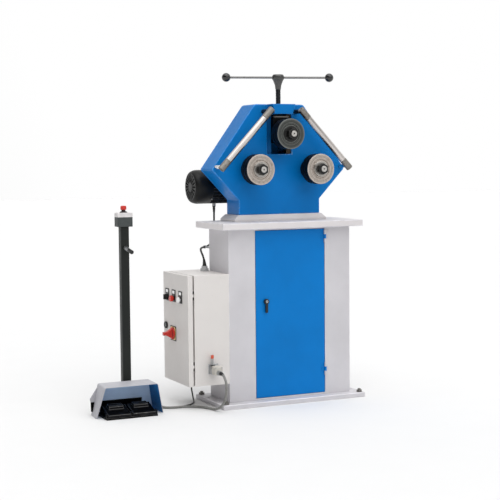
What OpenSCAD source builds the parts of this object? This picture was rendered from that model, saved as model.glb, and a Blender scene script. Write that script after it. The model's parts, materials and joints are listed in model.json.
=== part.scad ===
// Angle roll bender: a three-roll section bender on a cabinet stand, with its control box and foot pedal.
// Millimetres, +Z up. The origin is the middle of the base plate's underside, on the floor. Front is -Y.

/* [Stand] */
// Width of the base plate
base_w = 732; // [700:1:900]
// Depth of the base plate
base_d = 328; // [300:1:450]
// Thickness of the base plate
base_t = 22; // [12:1:30]
// Width of the stand
stand_w = 625; // [580:1:660]
// Depth of the stand
stand_d = 222; // [200:1:250]
// Height of the stand between base plate and table; its door grows with it
stand_h = 788; // [700:1:900]
// Sheet thickness of the stand
sheet_t = 4; // [2:0.5:6]
// Width of the table top
table_w = 720; // [680:1:850]
// Depth of the table top
table_d = 315; // [300:1:400]
// Thickness of the table top
table_t = 30; // [15:1:40]
// Diameter of the anchor holes in the base plate
anchor_d = 14; // [10:1:18]
// Distance between the anchor holes, front to back
anchor_pitch = 120; // [80:1:180]
// Distance of anchor holes and levelling bolts from the ends of the base plate
flange_inset = 21; // [18:1:24]
// Thread diameter of the levelling bolts
level_d = 16; // [10:1:18]

/* [Stand door] */
// Width of the cabinet door
door_w = 356; // [280:1:420]
// Height of the cabinet door; the stand grows with it
door_h = 770; // [680:1:880]
// Depth of the folded door
door_t = 18; // [12:1:25]
// Gap around the cabinet door
door_gap = 2; // [1.5:0.1:3]
// Diameter of the hinge pins of the cabinet door
hinge_pin_d = 5; // [3:0.5:6]
// Length of a hinge of the cabinet door
hinge_l = 60; // [40:1:90]
// Height of the door handle over the base plate
handle_rise = 454; // [350:1:550]
// Length of the door handle below its pivot
handle_l = 52; // [35:1:70]

/* [Head] */
// Width of the foot of the head
foot_w = 420; // [400:1:440]
// Height of the upright part of the foot
foot_h = 68; // [50:1:75]
// Greatest width of the head
head_w = 690; // [670:1:720]
// Height of the head's side corners over its foot
corner_rise = 210; // [195:1:225]
// Width of the top of the head
top_w = 252; // [230:1:280]
// Height of the head
head_h = 510; // [495:1:520]
// Depth of the head
head_d = 138; // [120:1:150]
// Place of the head's front face behind the middle of the base plate
head_front = -6; // [-20:1:5]
// Thickness of the front wall of the head
front_wall = 40; // [36:1:45]
// Thickness of the side walls of the head
side_wall = 14; // [8:1:18]
// Thickness of the rear cover of the head
rear_t = 12; // [8:1:16]
// Radius of the head's corners
corner_r = 20; // [8:1:24]
// Thickness of the plate under the head
riser_t = 30; // [15:1:40]
// Margin of the plate around the head
riser_margin = 28; // [10:1:35]

/* [Rolls] */
// Distance between the two lower spindles
roll_span = 308; // [296:1:320]
// Height of the lower spindles over the head's foot
lower_rise = 209; // [200:1:220]
// Height of the upper spindle over the head's foot
upper_rise = 371; // [362:1:380]
// Diameter of the rolls
roll_d = 140; // [110:1:146]
// Width of one disc of a roll
disc_t = 18; // [12:1:22]
// Width of the grooves between the discs
groove_w = 5; // [3:0.5:8]
// Diameter of the rolls at the bottom of the grooves
groove_d = 104; // [80:1:106]
// Distance between the head and the rolls
roll_gap = 56; // [50:1:62]
// Diameter of the spindles
spindle_d = 40; // [34:1:42]
// Thread diameter at the end of a spindle
thread_d = 27; // [20:1:30]
// Diameter of the washers on the rolls
washer_d = 72; // [64:1:90]
// Thickness of the washers on the rolls
washer_t = 6; // [3:0.5:10]
// Width across flats of the spindle nuts
nut_af = 46; // [40:1:55]
// Thickness of the spindle nuts
nut_t = 20; // [12:1:26]
// Length of the spindle end past its nut
stub_l = 8; // [4:1:20]
// Outer diameter of the bearings of the lower spindles
bearing_d = 80; // [72:1:90]
// Width of the spindle bearings
bearing_w = 18; // [14:1:18]

/* [Gears] */
// Teeth of the gears on the lower spindles
gear_teeth = 40; // [36:1:44]
// Teeth of the drive pinion
pinion_teeth = 22; // [20:1:24]
// Height of the lower spindles over the drive pinion
pinion_drop = 17.6; // [10:0.1:26]
// Width of the gears
gear_t = 30; // [20:1:32]
// Backlash taken from each tooth
backlash = 0.35; // [0.2:0.05:0.5]
// Diameter of the pinion shaft
pinion_shaft_d = 30; // [24:1:32]
// Module of the worm wheel
worm_module = 3; // [2.8:0.05:3.2]
// Teeth of the worm wheel
wheel_teeth = 30; // [28:1:32]
// Pitch diameter of the worm
worm_d = 36; // [34:0.5:38]
// Width of the worm wheel
wheel_t = 14; // [10:1:16]

/* [Top slide] */
// Width of the window in the head's front
window_w = 126; // [120:1:134]
// Height of the window's lower edge over the head's foot
window_rise = 280; // [272:1:283]
// Width of each guide bar in the window
gib_w = 24; // [16:1:25]
// Depth of the guide bars behind the head's face
gib_recess = 8; // [8:1:18]
// Running gap of the sliding block
slide_gap = 0.3; // [0.2:0.05:0.5]
// How far the sliding block stands out of the head
block_proud = 20; // [12:1:24]
// Height of the sliding block below the spindle
block_below = 41; // [38:1:42]
// Height of the sliding block above the spindle
block_above = 79; // [74:1:80]
// Thickness of the plate on the sliding block
keeper_t = 6; // [4:0.5:7]
// Width of the block that carries the feed screw
bridge_w = 120; // [110:1:130]
// Height of the block that carries the feed screw
bridge_h = 44; // [36:1:44]
// How far that block stands out of the head
bridge_proud = 50; // [30:1:55]
// Outer diameter of the upper spindle's bearings
top_bearing_d = 68; // [60:1:72]

/* [Feed screw] */
// Diameter of the feed screw
screw_d = 24; // [18:1:26]
// Height of the handle's hub over the head
hub_rise = 67; // [50:1:120]
// Height of the handle's hub
hub_h = 71; // [60:1:80]
// Greatest diameter of the handle's hub
hub_d = 56; // [44:1:64]
// Diameter of the cross bar
bar_d = 10; // [8:0.5:14]
// Distance between the ball knobs
knob_span = 490; // [400:1:600]
// Diameter of the ball knobs
knob_d = 41; // [32:1:50]

/* [Guide rollers] */
// Half distance between the lower ends of the guide rollers
guide_low_x = 332; // [325:1:335]
// Height of the lower ends over the head's foot
guide_low_rise = 211; // [208:1:216]
// Half distance between the upper ends
guide_high_x = 73; // [70:1:78]
// Height of the upper ends over the head's foot
guide_high_rise = 486; // [480:1:490]
// Distance of the guide rollers' axes from the head
guide_proud = 75; // [70:1:85]
// Diameter of the guide rollers
guide_d = 32; // [26:1:34]
// Diameter of the rods inside the guide rollers
guide_rod_d = 16; // [12:1:18]
// Length of the lower end sleeves
low_sleeve = 53; // [45:1:60]
// Length of the upper end sleeves
high_sleeve = 58; // [50:1:65]
// Diameter of the posts that carry the guide rods
post_d = 20; // [14:1:22]
// Distance of a post from the end of its sleeve
post_inset = 14; // [14:1:20]

/* [Motor] */
// Diameter of the motor over its fins
motor_d = 160; // [150:1:166]
// Length of the motor's body
motor_l = 205; // [200:1:240]
// Length of the fan cover
fan_cover_l = 80; // [70:1:100]
// Gap between the motor and the head
motor_gap = 6; // [3:1:12]
// Number of cooling fins
fin_count = 32; // [24:1:40]
// Half width of the worm gearbox
gearbox_half = 62; // [60:1:70]
// Diameter of the motor's rotor
rotor_d = 68; // [60:1:76]

/* [Control box] */
// Height of the control box
ebox_h = 500; // [450:1:520]
// Width of the control box
ebox_w = 300; // [280:1:340]
// Depth of the control box without its door
ebox_d = 170; // [150:1:190]
// Sheet thickness of the control box
ebox_t = 2; // [1.5:0.1:3]
// Height of the control box over the base plate
ebox_rise = 88; // [85:1:95]
// Thickness of the control box door
ebox_door_t = 22; // [16:1:28]
// Gap between the control box and its door
seal_gap = 8; // [7.5:0.5:10]
// Distance between the push buttons
button_pitch = 80; // [60:1:84]
// Diameter of the push buttons
button_d = 28; // [22:1:32]
// Side of the main switch plate
switch_side = 68; // [60:1:78]

/* [Foot pedal] */
// Width of the pair of pedals with their lugs
pedal_base_w = 236; // [220:1:250]
// Depth of the pedal base under the hood
pedal_base_d = 160; // [150:1:170]
// Thickness of the pedal base
pedal_base_t = 8; // [6:1:10]
// Thickness of the lugs that carry the pedal pin
lug_t = 6; // [4:1:8]
// Diameter of the pedal pin
pedal_pin_d = 8; // [6:0.5:10]
// Wall of the pedal hood
hood_wall = 3; // [2:0.5:4]
// Height of the pedal hood
hood_h = 138; // [125:1:150]
// Side of the post, left to right
post_w = 40; // [34:1:44]
// Side of the post, front to back
post_depth = 30; // [24:1:32]
// Height of the post
post_h = 823; // [700:1:900]
// Height of the stop button's box
stop_h = 43; // [36:1:50]
// Diameter of the stop button
stop_d = 27; // [26:1:36]

/* [Cables] */
// Diameter of the pedal cable
pedal_cable_d = 11; // [9:0.5:11]
// Diameter of the stop button's cable
stop_cable_d = 7; // [5:0.5:7]
// Diameter of the motor cable
motor_cable_d = 9; // [7:0.5:10]

/* [Hidden] */
$fn = 64;

// Small values that many pieces share
eps = 0.01;
fit = 0.05;
far = 400;

// Heights of the stand and the head
base_top = base_t;
growth = (stand_h / 788) * (door_h / 770);
stand_rise = 788 * growth;
door_rise = 770 * growth;
stand_top = base_top + stand_rise;
table_z = stand_top + table_t;
head_z = table_z + riser_t;
head_top = head_z + head_h;
lower_z = head_z + lower_rise;
extra_h = head_h - 510;
upper_z = head_z + upper_rise + extra_h;

riser_ledge = 6;

// Front to back places of the head
head_back = head_front + head_d;
wall_back = head_front + front_wall;
cover_front = head_back - rear_t;
stand_front = -stand_d / 2;

// Cabinet door and its hinges
door_low = base_top + (stand_rise - door_rise) / 2;
frame_depth = 30;
knuckle_r = hinge_pin_d / 2 + 3;
hinge_x = door_w / 2 + door_gap / 2;
hinge_y = stand_front - knuckle_r;
hinge_lows = [door_low + 81, door_low + door_rise - 66];
leaf_t = 2.5;
handle_x = -door_w / 2 + 50;
handle_z = base_top + handle_rise;
handle_boss_r = 12;
handle_boss_l = 14;

// Rolls and spindles, each at [x, z]
left_at = [-roll_span / 2, lower_z];
right_at = [roll_span / 2, lower_z];
top_at = [0, upper_z];
spindle_r = spindle_d / 2;
roll_back = head_front - roll_gap;
roll_w = 3 * disc_t + 2 * groove_w;
roll_front = roll_back - roll_w;
washer_front = roll_front - washer_t;
nut_front = washer_front - nut_t;
spindle_front = nut_front - stub_l;
face_groove = 3;
collar_r = spindle_r + 10;
cap_r = bearing_d / 2 + 6;
cap_t = 10;
bearing_lip = 4;
boss_depth = bearing_w + 5;
shaft_back = cover_front - 3;

// Gear train
half_span = roll_span / 2;
pinion_z = lower_z - pinion_drop;
centre_distance = sqrt(half_span * half_span + pinion_drop * pinion_drop);
gear_module = 2 * centre_distance / (gear_teeth + pinion_teeth);
gear_front = wall_back + 10;
pressure = 20;
mesh_angle = atan2(pinion_drop, half_span);
pinion_pitch = 360 / pinion_teeth;
gear_pitch = 360 / gear_teeth;
left_steps = (180 - 2 * mesh_angle) / pinion_pitch;
left_offset = (left_steps - floor(left_steps)) * pinion_pitch;
right_turn = mesh_angle + 180 + gear_pitch / 2;
left_turn = -mesh_angle + left_offset * pinion_teeth / gear_teeth + gear_pitch / 2;
pinion_r = pinion_shaft_d / 2;
pinion_bearing_r = pinion_r + 16;
pinion_bearing_w = 16;

// Worm gearbox and motor
wheel_r = worm_module * wheel_teeth / 2;
worm_r = worm_d / 2;
worm_pitch = PI * worm_module;
worm_turns = 6;
worm_l = worm_turns * worm_pitch;
worm_depth = 1.1 * worm_module;
motor_r = motor_d / 2;
motor_y = head_back + motor_gap + motor_r;
motor_z = pinion_z - wheel_r - worm_r;
worm_shaft_r = 10;
worm_bearing_r = 21;
worm_bearing_w = 12;
wheel_room = wheel_r + 9;
gearbox_r = wheel_room + 12;
gearbox_front = head_back;
wheel_front = motor_y - wheel_t / 2;
gearbox_bearing_back = wheel_front - 14;
gearbox_cover_front = wheel_front + wheel_t + 24;
gearbox_cover_t = 24;
gearbox_low = motor_z - worm_bearing_r - 14;
fin_h = 7;
motor_left = -gearbox_half - 12;
motor_end = motor_left - motor_l;
fan_end = motor_end - fan_cover_l;
rotor_l = 80;
rotor_x = motor_left - motor_l / 2 - rotor_l / 2;
air_gap = 0.5;
stator_r = rotor_d / 2 + 22;
shield_t = 12;
terminal_x = motor_left - 126;
terminal_side = 90;
terminal_depth = 46;
terminal_y = motor_y + motor_r - fin_h - 6;

// Top slide
block_w = window_w - 2 * gib_w - 2 * slide_gap;
lip = 2;
gib_front = head_front + gib_recess;
gib_back = wall_back;
block_front = head_front - block_proud;
block_low = upper_z - block_below;
block_top = upper_z + block_above;
keeper_top = block_top + keeper_t;
bridge_low = head_top - bridge_h - 2;
window_low = head_z + window_rise + extra_h;
screw_y = (block_front + wall_back) / 2;
screw_r = screw_d / 2;
neck_r = screw_r - 3.5;
foot_l = 20;
rear_plate_t = 9;
top_bearing_w = 15;
nut_bush_r = screw_r + 8;
hub_z = head_top + hub_rise;
bar_z = hub_z + hub_h - 14;
spigot_r = screw_r - 3;
spigot_l = 36;
knob_depth = 14;
handle_turn = -14;

// Guide rollers: lower and upper end of the right axis, as [x, z]
guide_low = [guide_low_x, head_z + guide_low_rise];
guide_high = [guide_high_x, head_z + guide_high_rise + extra_h];
guide_run = guide_high - guide_low;
guide_l = norm(guide_run);
guide_tilt = atan2(guide_run[0], guide_run[1]);
guide_y = head_front - guide_proud;
guide_gap = 0.5;
guide_posts_at = [post_inset, guide_l - post_inset];

// Control box
ebox_x = -stand_w / 2 - ebox_d;
ebox_y = stand_front;
ebox_back = ebox_y + ebox_w;
ebox_z = base_top + ebox_rise;
ebox_top = ebox_z + ebox_h;
ebox_rim = 14;
door_in = ebox_x - seal_gap;
door_out = door_in - ebox_door_t;
ebox_hinge = [door_in + 2, ebox_y + 4.5];
ebox_hinge_r = 2;
ebox_knuckle_r = 3.6;
ebox_hinge_l = 40;
ebox_hinge_rises = [70, ebox_h - 70 - ebox_hinge_l];
seal_inset = 13;
seal_w = 8;
seal_play = 0.3;
button_y = ebox_y + 171;
button_z = ebox_z + 385;
plate_t = 2;
legend_w = 44;
legend_h = 56;
legend_rise = 12;
bush_r = button_d / 2 - 4;
button_l = 8;
button_gap = 4.5;
switch_y = ebox_y + 181;
switch_z = ebox_z + 223;
switch_hub_r = 27;
switch_l = 50;
lock_y = ebox_y + 266;
lock_z = ebox_z + 252;
lock_r = 16;
lock_stem_r = 10;
plate_x = -stand_w / 2 - ebox_t - 12;

// Connector on the side of the control box
plug_x = ebox_x + 88;
plug_z = ebox_z + 75;
plug_w = 42;
plug_h = 40;
plug_base_l = 28;
plug_hood_l = 36;
plug_nose_l = 22;
plug_hood_front = ebox_y - plug_base_l - plug_hood_l;
plug_nose_r = 9;
plug_nose_z = plug_z - 9;
lever_y = ebox_y - 16;
lever_z = plug_z + 12;
lever_l = 54;
lever_half = 6;
lever_x = plug_x - 11;

// Foot pedal
pedal_x = -787;
pedal_front = -127;
pedal_back = pedal_front + pedal_base_d - 2;
pin_y = pedal_front + 15;
pin_z = pedal_base_t + 8;
pin_r = pedal_pin_d / 2;
pedal_side_gap = 2;
pedal_w = (pedal_base_w - 3 * lug_t) / 2 - 2 * pedal_side_gap;
hood_x = -779;
hood_r = 8;
hood_back = pedal_back + 5;
hood_lean = 18;
hood_slant = atan(hood_lean / (hood_h - 4));

// Inside face of the hood's back wall at height z
function hood_inside(z) = hood_back - hood_r + (hood_r - hood_wall) / cos(hood_slant)
    - z * tan(hood_slant) - 0.15;

tail_w = 76;
tail_x = -752;
tail_back = pedal_back + 83;
post_y = hood_back + 1 + post_depth / 2;
post_top = pedal_base_t + post_h;
stop_w = 70;
stop_depth = 48;
lid_h = 20;
lid_top = post_top + stop_h + lid_h;
stop_neck_h = 12;
stop_travel = 6;
stop_cap_h = 19;
grip_r = 9;
grip_l = 92;
grip_tilt = 10;
grip_z = 738;
inlet_l = 18;
inlet_r = 7;

// Points of a smooth curve that leaves its first point towards the second and reaches its last from the third
function curve(p, first, steps) = [for (i = [first : steps]) let (t = i / steps, s = 1 - t)
    s * s * s * p[0] + 3 * s * s * t * p[1] + 3 * s * t * t * p[2] + t * t * t * p[3]];

// Routes of the cables, from the end at the machine
pedal_cable_route = [[-395, -197, 176], [-395, -212, 176], [-395, -226, 172], [-395, -239, 163],
    [-394, -248, 151], [-393, -253, 136], [-392, -253, 118], [-391, -248, 98], [-390, -239, 78],
    [-390, -227, 59], [-391, -212, 42], [-393, -195, 28], [-396, -176, 17], [-400, -156, 10],
    [-404, -135, 7], [-410, -112, 6], [-418, -89, 6], [-430, -67, 6], [-446, -47, 6], [-467, -31, 6],
    [-491, -20, 6], [-516, -15, 6], [-540, -14, 6], [-570, -6, 6], [-592, 16, 6], [-600, 46, 6],
    [-600, 66, 6], [-606, 88, 6], [-622, 105, 6], [-645, 111, 6], [-668, 105, 6], [-684, 88, 7],
    [-690, 66, 8], [-690, 50, 8]];
stop_cable_route = [[-395, 150, 96], [-395, 150, 82], [-395, 149, 66], [-395, 146, 50], [-395, 139, 35],
    [-397, 128, 22], [-400, 114, 12], [-405, 98, 6], [-411, 81, 4], [-419, 64, 4], [-429, 48, 4],
    [-442, 33, 4], [-457, 20, 4], [-474, 10, 4], [-493, 4, 4], [-513, 1, 4], [-533, 1, 4], [-553, 6, 4],
    [-570, 18, 4], [-580, 34, 4], [-584, 52, 4], [-584, 68, 4], [-591, 94, 4], [-612, 118, 4],
    [-645, 127, 4], [-678, 118, 4], [-699, 94, 6], [-706, 68, 8], [-706, 50, 8]];
motor_exit = [terminal_x, terminal_y + terminal_depth / 2, motor_z - terminal_side / 2 - 50];
clip_at = [-stand_w / 2 + 5.5, stand_d / 2 + 64, stand_top - 94];
clip_heading = [-0.771, -0.636, 0];
box_entry = [-stand_w / 2 - 31.5, ebox_back - 95, ebox_top + 24];
motor_cable_route = concat([motor_exit],
    curve([motor_exit - [0, 0, 8], motor_exit - [0, 0, 120], clip_at - 100 * clip_heading, clip_at], 0,
        11),
    curve([clip_at, clip_at + 90 * clip_heading, box_entry + [0, 0, 60], box_entry + [0, 0, 8]], 1, 8),
        [box_entry]);
clip_index = 12;
pedal_inlet = [pedal_cable_route[len(pedal_cable_route) - 1][0],
    pedal_cable_route[len(pedal_cable_route) - 1][2]];
stop_inlet = [stop_cable_route[len(stop_cable_route) - 1][0], stop_cable_route[len(stop_cable_route)
    - 1][2]];

// Plain solids between two places along one axis
module box(x, y, z) {
    translate([x[0], y[0], z[0]]) cube([x[1] - x[0], y[1] - y[0], z[1] - z[0]]);
}

module along_x(y, z, x, r) {
    translate([x[0], y, z]) rotate([0, 90, 0]) cylinder(h = x[1] - x[0], r = r);
}

module along_y(at, y, r) {
    translate([at[0], y[0], at[1]]) rotate([-90, 0, 0]) cylinder(h = y[1] - y[0], r = r);
}

module along_z(x, y, z, r) {
    translate([x, y, z[0]]) cylinder(h = z[1] - z[0], r = r);
}

module ring_y(at, y, outer, inner) {
    difference() {
        along_y(at, y, outer);
        along_y(at, [y[0] - 1, y[1] + 1], inner);
    }
}

// A flat outline in the front view, from y0 back to y1
module front_view(y0, y1) {
    translate([0, y1, 0]) rotate([90, 0, 0]) linear_extrude(y1 - y0) children();
}

// A hexagon with its flats a given distance apart
module hex_y(at, y, flats) {
    translate([at[0], y[0], at[1]]) rotate([-90, 30, 0]) cylinder(h = y[1] - y[0], r = flats / sqrt(3),
        $fn = 6);
}

// A polygon whose corner i is rounded by radius r[i]
function corner_arc(before, at, after, r) =
    let (a = (before - at) / norm(before - at), b = (after - at) / norm(after - at),
        half = acos(a * b) / 2, middle = at + (a + b) / norm(a + b) * r / sin(half),
        from = at + a * r / tan(half) - middle, to = at + b * r / tan(half) - middle,
        start = atan2(from[1], from[0]), sweep = atan2(to[1], to[0]) - start,
        turn = sweep > 180 ? sweep - 360 : sweep < -180 ? sweep + 360 : sweep, steps = 6)
    r <= 0 ? [at] : [for (i = [0 : steps]) middle + r * [cos(start + turn * i / steps),
        sin(start + turn * i / steps)]];

function rounded(points, r) = let (n = len(points))
    [for (i = [0 : n - 1]) each corner_arc(points[(i + n - 1) % n], points[i], points[(i + 1) % n],
        r[i])];

// A round tube swept along a route; each ring lies square to the route
function unit(v) = v / norm(v);

function heading(route, i) = unit(route[min(i + 1, len(route) - 1)] - route[max(i - 1, 0)]);

function square_to(v, side) = unit(side - (side * v) * v);

function sides(route, i = 0, last = [1, 0.2, 0.1]) = i == len(route) ? []
    : let (now = square_to(heading(route, i), last)) concat([now], sides(route, i + 1, now));

module cable(route, d, n = 10) {
    side = sides(route);
    points = [for (i = [0 : len(route) - 1]) for (k = [0 : n - 1])
        let (v = heading(route, i), up = cross(v, side[i]))
        route[i] + d / 2 * (cos(360 * k / n) * side[i] + sin(360 * k / n) * up)];
    last = (len(route) - 1) * n;
    walls = [for (i = [0 : len(route) - 2]) for (k = [0 : n - 1])
        let (a = i * n + k, b = i * n + (k + 1) % n) each [[a, a + n, b], [b, a + n, b + n]]];
    near_end = [[for (k = [0 : n - 1]) k]];
    far_end = [[for (k = [0 : n - 1]) last + n - 1 - k]];
    polyhedron(points, concat(near_end, walls, far_end), convexity = 10);
}

// Stand
module base_plate() color("gainsboro") difference() {
    box([-base_w / 2, base_w / 2], [-base_d / 2, base_d / 2], [0, base_t]);
    for (x = [-1, 1], y = [-1, 1]) {
        along_z(x * (base_w / 2 - flange_inset), y * anchor_pitch / 2, [-1, base_t + 1], anchor_d / 2);
        along_z(x * (base_w / 2 - flange_inset), y * (base_d / 2 - flange_inset), [-1, base_t + 1],
            level_d / 2 + fit);
    }
}

module levelling_bolts() color("dimgray") for (x = [-1, 1], y = [-1, 1]) {
    at = [x * (base_w / 2 - flange_inset), y * (base_d / 2 - flange_inset)];
    along_z(at[0], at[1], [0, base_t], level_d / 2);
    translate([at[0], at[1], base_t]) cylinder(h = 0.6 * level_d, r = 0.9 * level_d, $fn = 6);
    along_z(at[0], at[1], [base_t, base_t + level_d], 0.45 * level_d);
}

module stand_body() color("gainsboro") difference() {
    box([-stand_w / 2, stand_w / 2], [stand_front, stand_d / 2], [base_top, stand_top]);
    box([-stand_w / 2 + sheet_t, stand_w / 2 - sheet_t], [stand_front + sheet_t, stand_d / 2 - sheet_t],
        [base_top - 1, stand_top + 1]);
    box([-door_w / 2 - door_gap, door_w / 2 + door_gap], [stand_front - 1, stand_front + sheet_t + 1],
        [door_low - door_gap, door_low + door_rise + door_gap]);
}

module table_top() color("gainsboro")
    box([-table_w / 2, table_w / 2], [-table_d / 2, table_d / 2], [stand_top, table_z]);

module riser_plate() color("silver") hull() {
    riser_layer(riser_margin, riser_margin / 2, [table_z, table_z + riser_t / 3]);
    riser_layer(riser_ledge, riser_ledge, [head_z - eps, head_z]);
}

module riser_layer(side, front, z) box([-foot_w / 2 - side, foot_w / 2 + side], [head_front - front,
    head_back + front], z);

module stand_door() color("dodgerblue") {
    difference() {
        box([-door_w / 2, door_w / 2], [stand_front, stand_front + door_t], [door_low,
            door_low + door_rise]);
        box([-door_w / 2 + sheet_t, door_w / 2 - sheet_t], [stand_front + sheet_t,
            stand_front + door_t + 1],
            [door_low + sheet_t, door_low + door_rise - sheet_t]);
        along_y([handle_x, handle_z], [stand_front - 1, stand_front + door_t], handle_boss_r - 4 + fit);
    }
    for (low = hinge_lows) {
        door_leaf(low + hinge_l / 3 + fit, low + 2 * hinge_l / 3 - fit);
    }
}

module door_leaf(z0, z1) {
    difference() {
        union() {
            along_z(hinge_x, hinge_y, [z0, z1], knuckle_r);
            box([hinge_x - knuckle_r - 14, hinge_x], [stand_front - leaf_t, stand_front], [z0, z1]);
        }
        along_z(hinge_x, hinge_y, [z0 - 1, z1 + 1], hinge_pin_d / 2 + fit);
        box([hinge_x + eps, hinge_x + knuckle_r + 1], [stand_front - leaf_t, stand_front + 1], [z0 - 1,
            z1 + 1]);
    }
}

module stand_door_handle() color("black") {
    along_y([handle_x, handle_z], [stand_front - handle_boss_l, stand_front - fit], handle_boss_r);
    along_y([handle_x, handle_z], [stand_front - fit, stand_front + door_t - 2], handle_boss_r - 4);
    box([handle_x - 6, handle_x + 6], [stand_front - handle_boss_l, stand_front - 5],
        [handle_z - handle_l, handle_z]);
    box([handle_x - 8, handle_x + 8], [stand_front + door_t - 2, stand_front + door_t + 2],
        [handle_z - 34, handle_z + 10]);
}

module frame_leaves(z0) for (z = [z0, z0 + 2 * hinge_l / 3]) difference() {
    union() {
        along_z(hinge_x, hinge_y, [z, z + hinge_l / 3], knuckle_r);
        box([hinge_x, hinge_x + knuckle_r + 14], [stand_front - leaf_t, stand_front], [z,
            z + hinge_l / 3]);
    }
    along_z(hinge_x, hinge_y, [z - 1, z + hinge_l], hinge_pin_d / 2);
    box([hinge_x - knuckle_r - 1, hinge_x - eps], [stand_front - leaf_t, stand_front + 1], [z - 1,
        z + hinge_l]);
}

module door_hinges() color("silver") {
    for (low = hinge_lows) {
        frame_leaves(low);
        along_z(hinge_x, hinge_y, [low, low + hinge_l], hinge_pin_d / 2);
    }
    for (rise = ebox_hinge_rises) ebox_hinge_bracket(ebox_z + rise);
}

module ebox_hinge_bracket(z) {
    along_z(ebox_hinge[0], ebox_hinge[1], [z, z + ebox_hinge_l], ebox_hinge_r);
    for (part = [z, z + 2 * ebox_hinge_l / 3])
        box([ebox_hinge[0] - 1, ebox_x], [ebox_hinge[1] - 1.5, ebox_hinge[1] + 3], [part,
            part + ebox_hinge_l / 3]);
}

// Head
function head_outline(inset) = let (d = inset)
    [[-foot_w / 2 + d, head_z + d], [foot_w / 2 - d, head_z + d], [foot_w / 2 - d,
        head_z + foot_h - d / 2],
    [head_w / 2 - 1.3 * d, head_z + corner_rise], [top_w / 2 - 0.5 * d, head_top - d],
    [-top_w / 2 + 0.5 * d, head_top - d], [-head_w / 2 + 1.3 * d, head_z + corner_rise],
    [-foot_w / 2 + d, head_z + foot_h - d / 2]];

module head_shape(inset) polygon(rounded(head_outline(inset),
    [0, 0, corner_r / 2, corner_r / 2, corner_r, corner_r, corner_r / 2, corner_r / 2]));

module head_housing() color("dodgerblue") difference() {
    front_view(head_front, cover_front) head_shape(0);
    front_view(wall_back, cover_front + 1) head_shape(side_wall);
    box([-window_w / 2, window_w / 2], [head_front - 1, wall_back + 1], [window_low, bridge_low]);
    box([-bridge_w / 2, bridge_w / 2], [head_front - 1, wall_back], [bridge_low - 1, head_top + 1]);
    for (at = [left_at, right_at]) {
        along_y(at, [head_front + bearing_lip, wall_back + 1], bearing_d / 2);
        along_y(at, [head_front - 1, wall_back], collar_r + 1);
    }
    along_y([0, pinion_z], [wall_back - pinion_bearing_w, wall_back + 1], pinion_bearing_r);
    for (side = [-1, 1], along = guide_posts_at) along_y(guide_at(side, along), [head_front - 1,
        head_front + 20], post_d / 2);
}

module head_rear_cover() color("dodgerblue") difference() {
    union() {
        front_view(cover_front, head_back) head_shape(0);
        for (at = [left_at, right_at]) along_y(at, [cover_front - boss_depth, cover_front + 1],
            bearing_d / 2 + 8);
    }
    for (at = [left_at, right_at]) along_y(at, [cover_front - boss_depth - 1, cover_front - 2],
        bearing_d / 2);
    along_y([0, pinion_z], [cover_front - 1, head_back + 1], pinion_r + 3);
}

module head_bearings() color("silver") {
    for (at = [left_at, right_at]) {
        ring_y(at, [head_front + bearing_lip, head_front + bearing_lip + bearing_w], bearing_d / 2,
            spindle_r + fit);
        ring_y(at, [cover_front - boss_depth, cover_front - boss_depth + bearing_w], bearing_d / 2,
            spindle_r + fit);
        ring_y(at, [head_front - cap_t, head_front], cap_r, collar_r + 0.5);
    }
    ring_y([0, pinion_z], [wall_back - pinion_bearing_w, wall_back], pinion_bearing_r, pinion_r + fit);
}

module slide_gibs() color("steelblue") for (side = [-1, 1]) {
    edges = [side * window_w / 2, side * (window_w / 2 - gib_w)];
    box([min(edges), max(edges)], [gib_front, gib_back], [window_low, bridge_low]);
}

module screw_bridge() color("dodgerblue") {
    slant = 14;
    difference() {
        union() {
            front_view(head_front - bridge_proud, head_front + eps) polygon([[-bridge_w / 2, head_top],
                [bridge_w / 2, head_top], [bridge_w / 2 - slant, bridge_low], [-bridge_w / 2 + slant,
                    bridge_low]]);
            box([-bridge_w / 2, bridge_w / 2], [head_front, wall_back], [bridge_low, head_top]);
        }
        along_z(0, screw_y, [bridge_low - 1, head_top + 1], nut_bush_r + eps);
    }
    difference() {
        along_z(0, screw_y, [bridge_low, head_top], nut_bush_r);
        along_z(0, screw_y, [bridge_low - 1, head_top + 1], screw_r + fit);
    }
}

// Guide rollers
function guide_at(side, along) = let (p = guide_low + guide_run * along / guide_l) [side * p[0], p[1]];

module on_guide(side, from, to, r) {
    at = guide_at(side, from);
    translate([at[0], guide_y, at[1]]) rotate([0, side * guide_tilt, 0]) cylinder(h = to - from, r = r);
}

module guide_posts() color("silver") for (side = [-1, 1], along = guide_posts_at) {
    at = guide_at(side, along);
    along_y(at, [guide_y + guide_rod_d / 2, head_front + 20], post_d / 2);
}

module guide_rods() color("dimgray") for (side = [-1, 1]) {
    on_guide(side, 2, guide_l - 2, guide_rod_d / 2);
    guide_sleeve(side, 0, low_sleeve, guide_posts_at[0]);
    guide_sleeve(side, guide_l - high_sleeve, guide_l, guide_posts_at[1]);
}

module guide_sleeve(side, from, to, post) difference() {
    on_guide(side, from, to, guide_d / 2);
    on_guide(side, from - 1, to + 1, guide_rod_d / 2);
    along_y(guide_at(side, post), [guide_y + guide_rod_d / 2, head_front], post_d / 2);
}

module guide_roller(side) color("whitesmoke") difference() {
    on_guide(side, low_sleeve + guide_gap, guide_l - high_sleeve - guide_gap, guide_d / 2 - 0.5);
    on_guide(side, 0, guide_l, guide_rod_d / 2 + fit);
}

module left_guide_roller() guide_roller(-1);

module right_guide_roller() guide_roller(1);

// Spindles, rolls and gears
module spindle(at, back, collar, journal_front) {
    difference() {
        union() {
            along_y(at, [roll_front, back], spindle_r);
            along_y(at, [spindle_front, roll_front], thread_d / 2);
            along_y(at, [roll_back, journal_front], collar);
        }
        along_y(at, [spindle_front - 1, spindle_front + 6], 3);
    }
}

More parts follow.
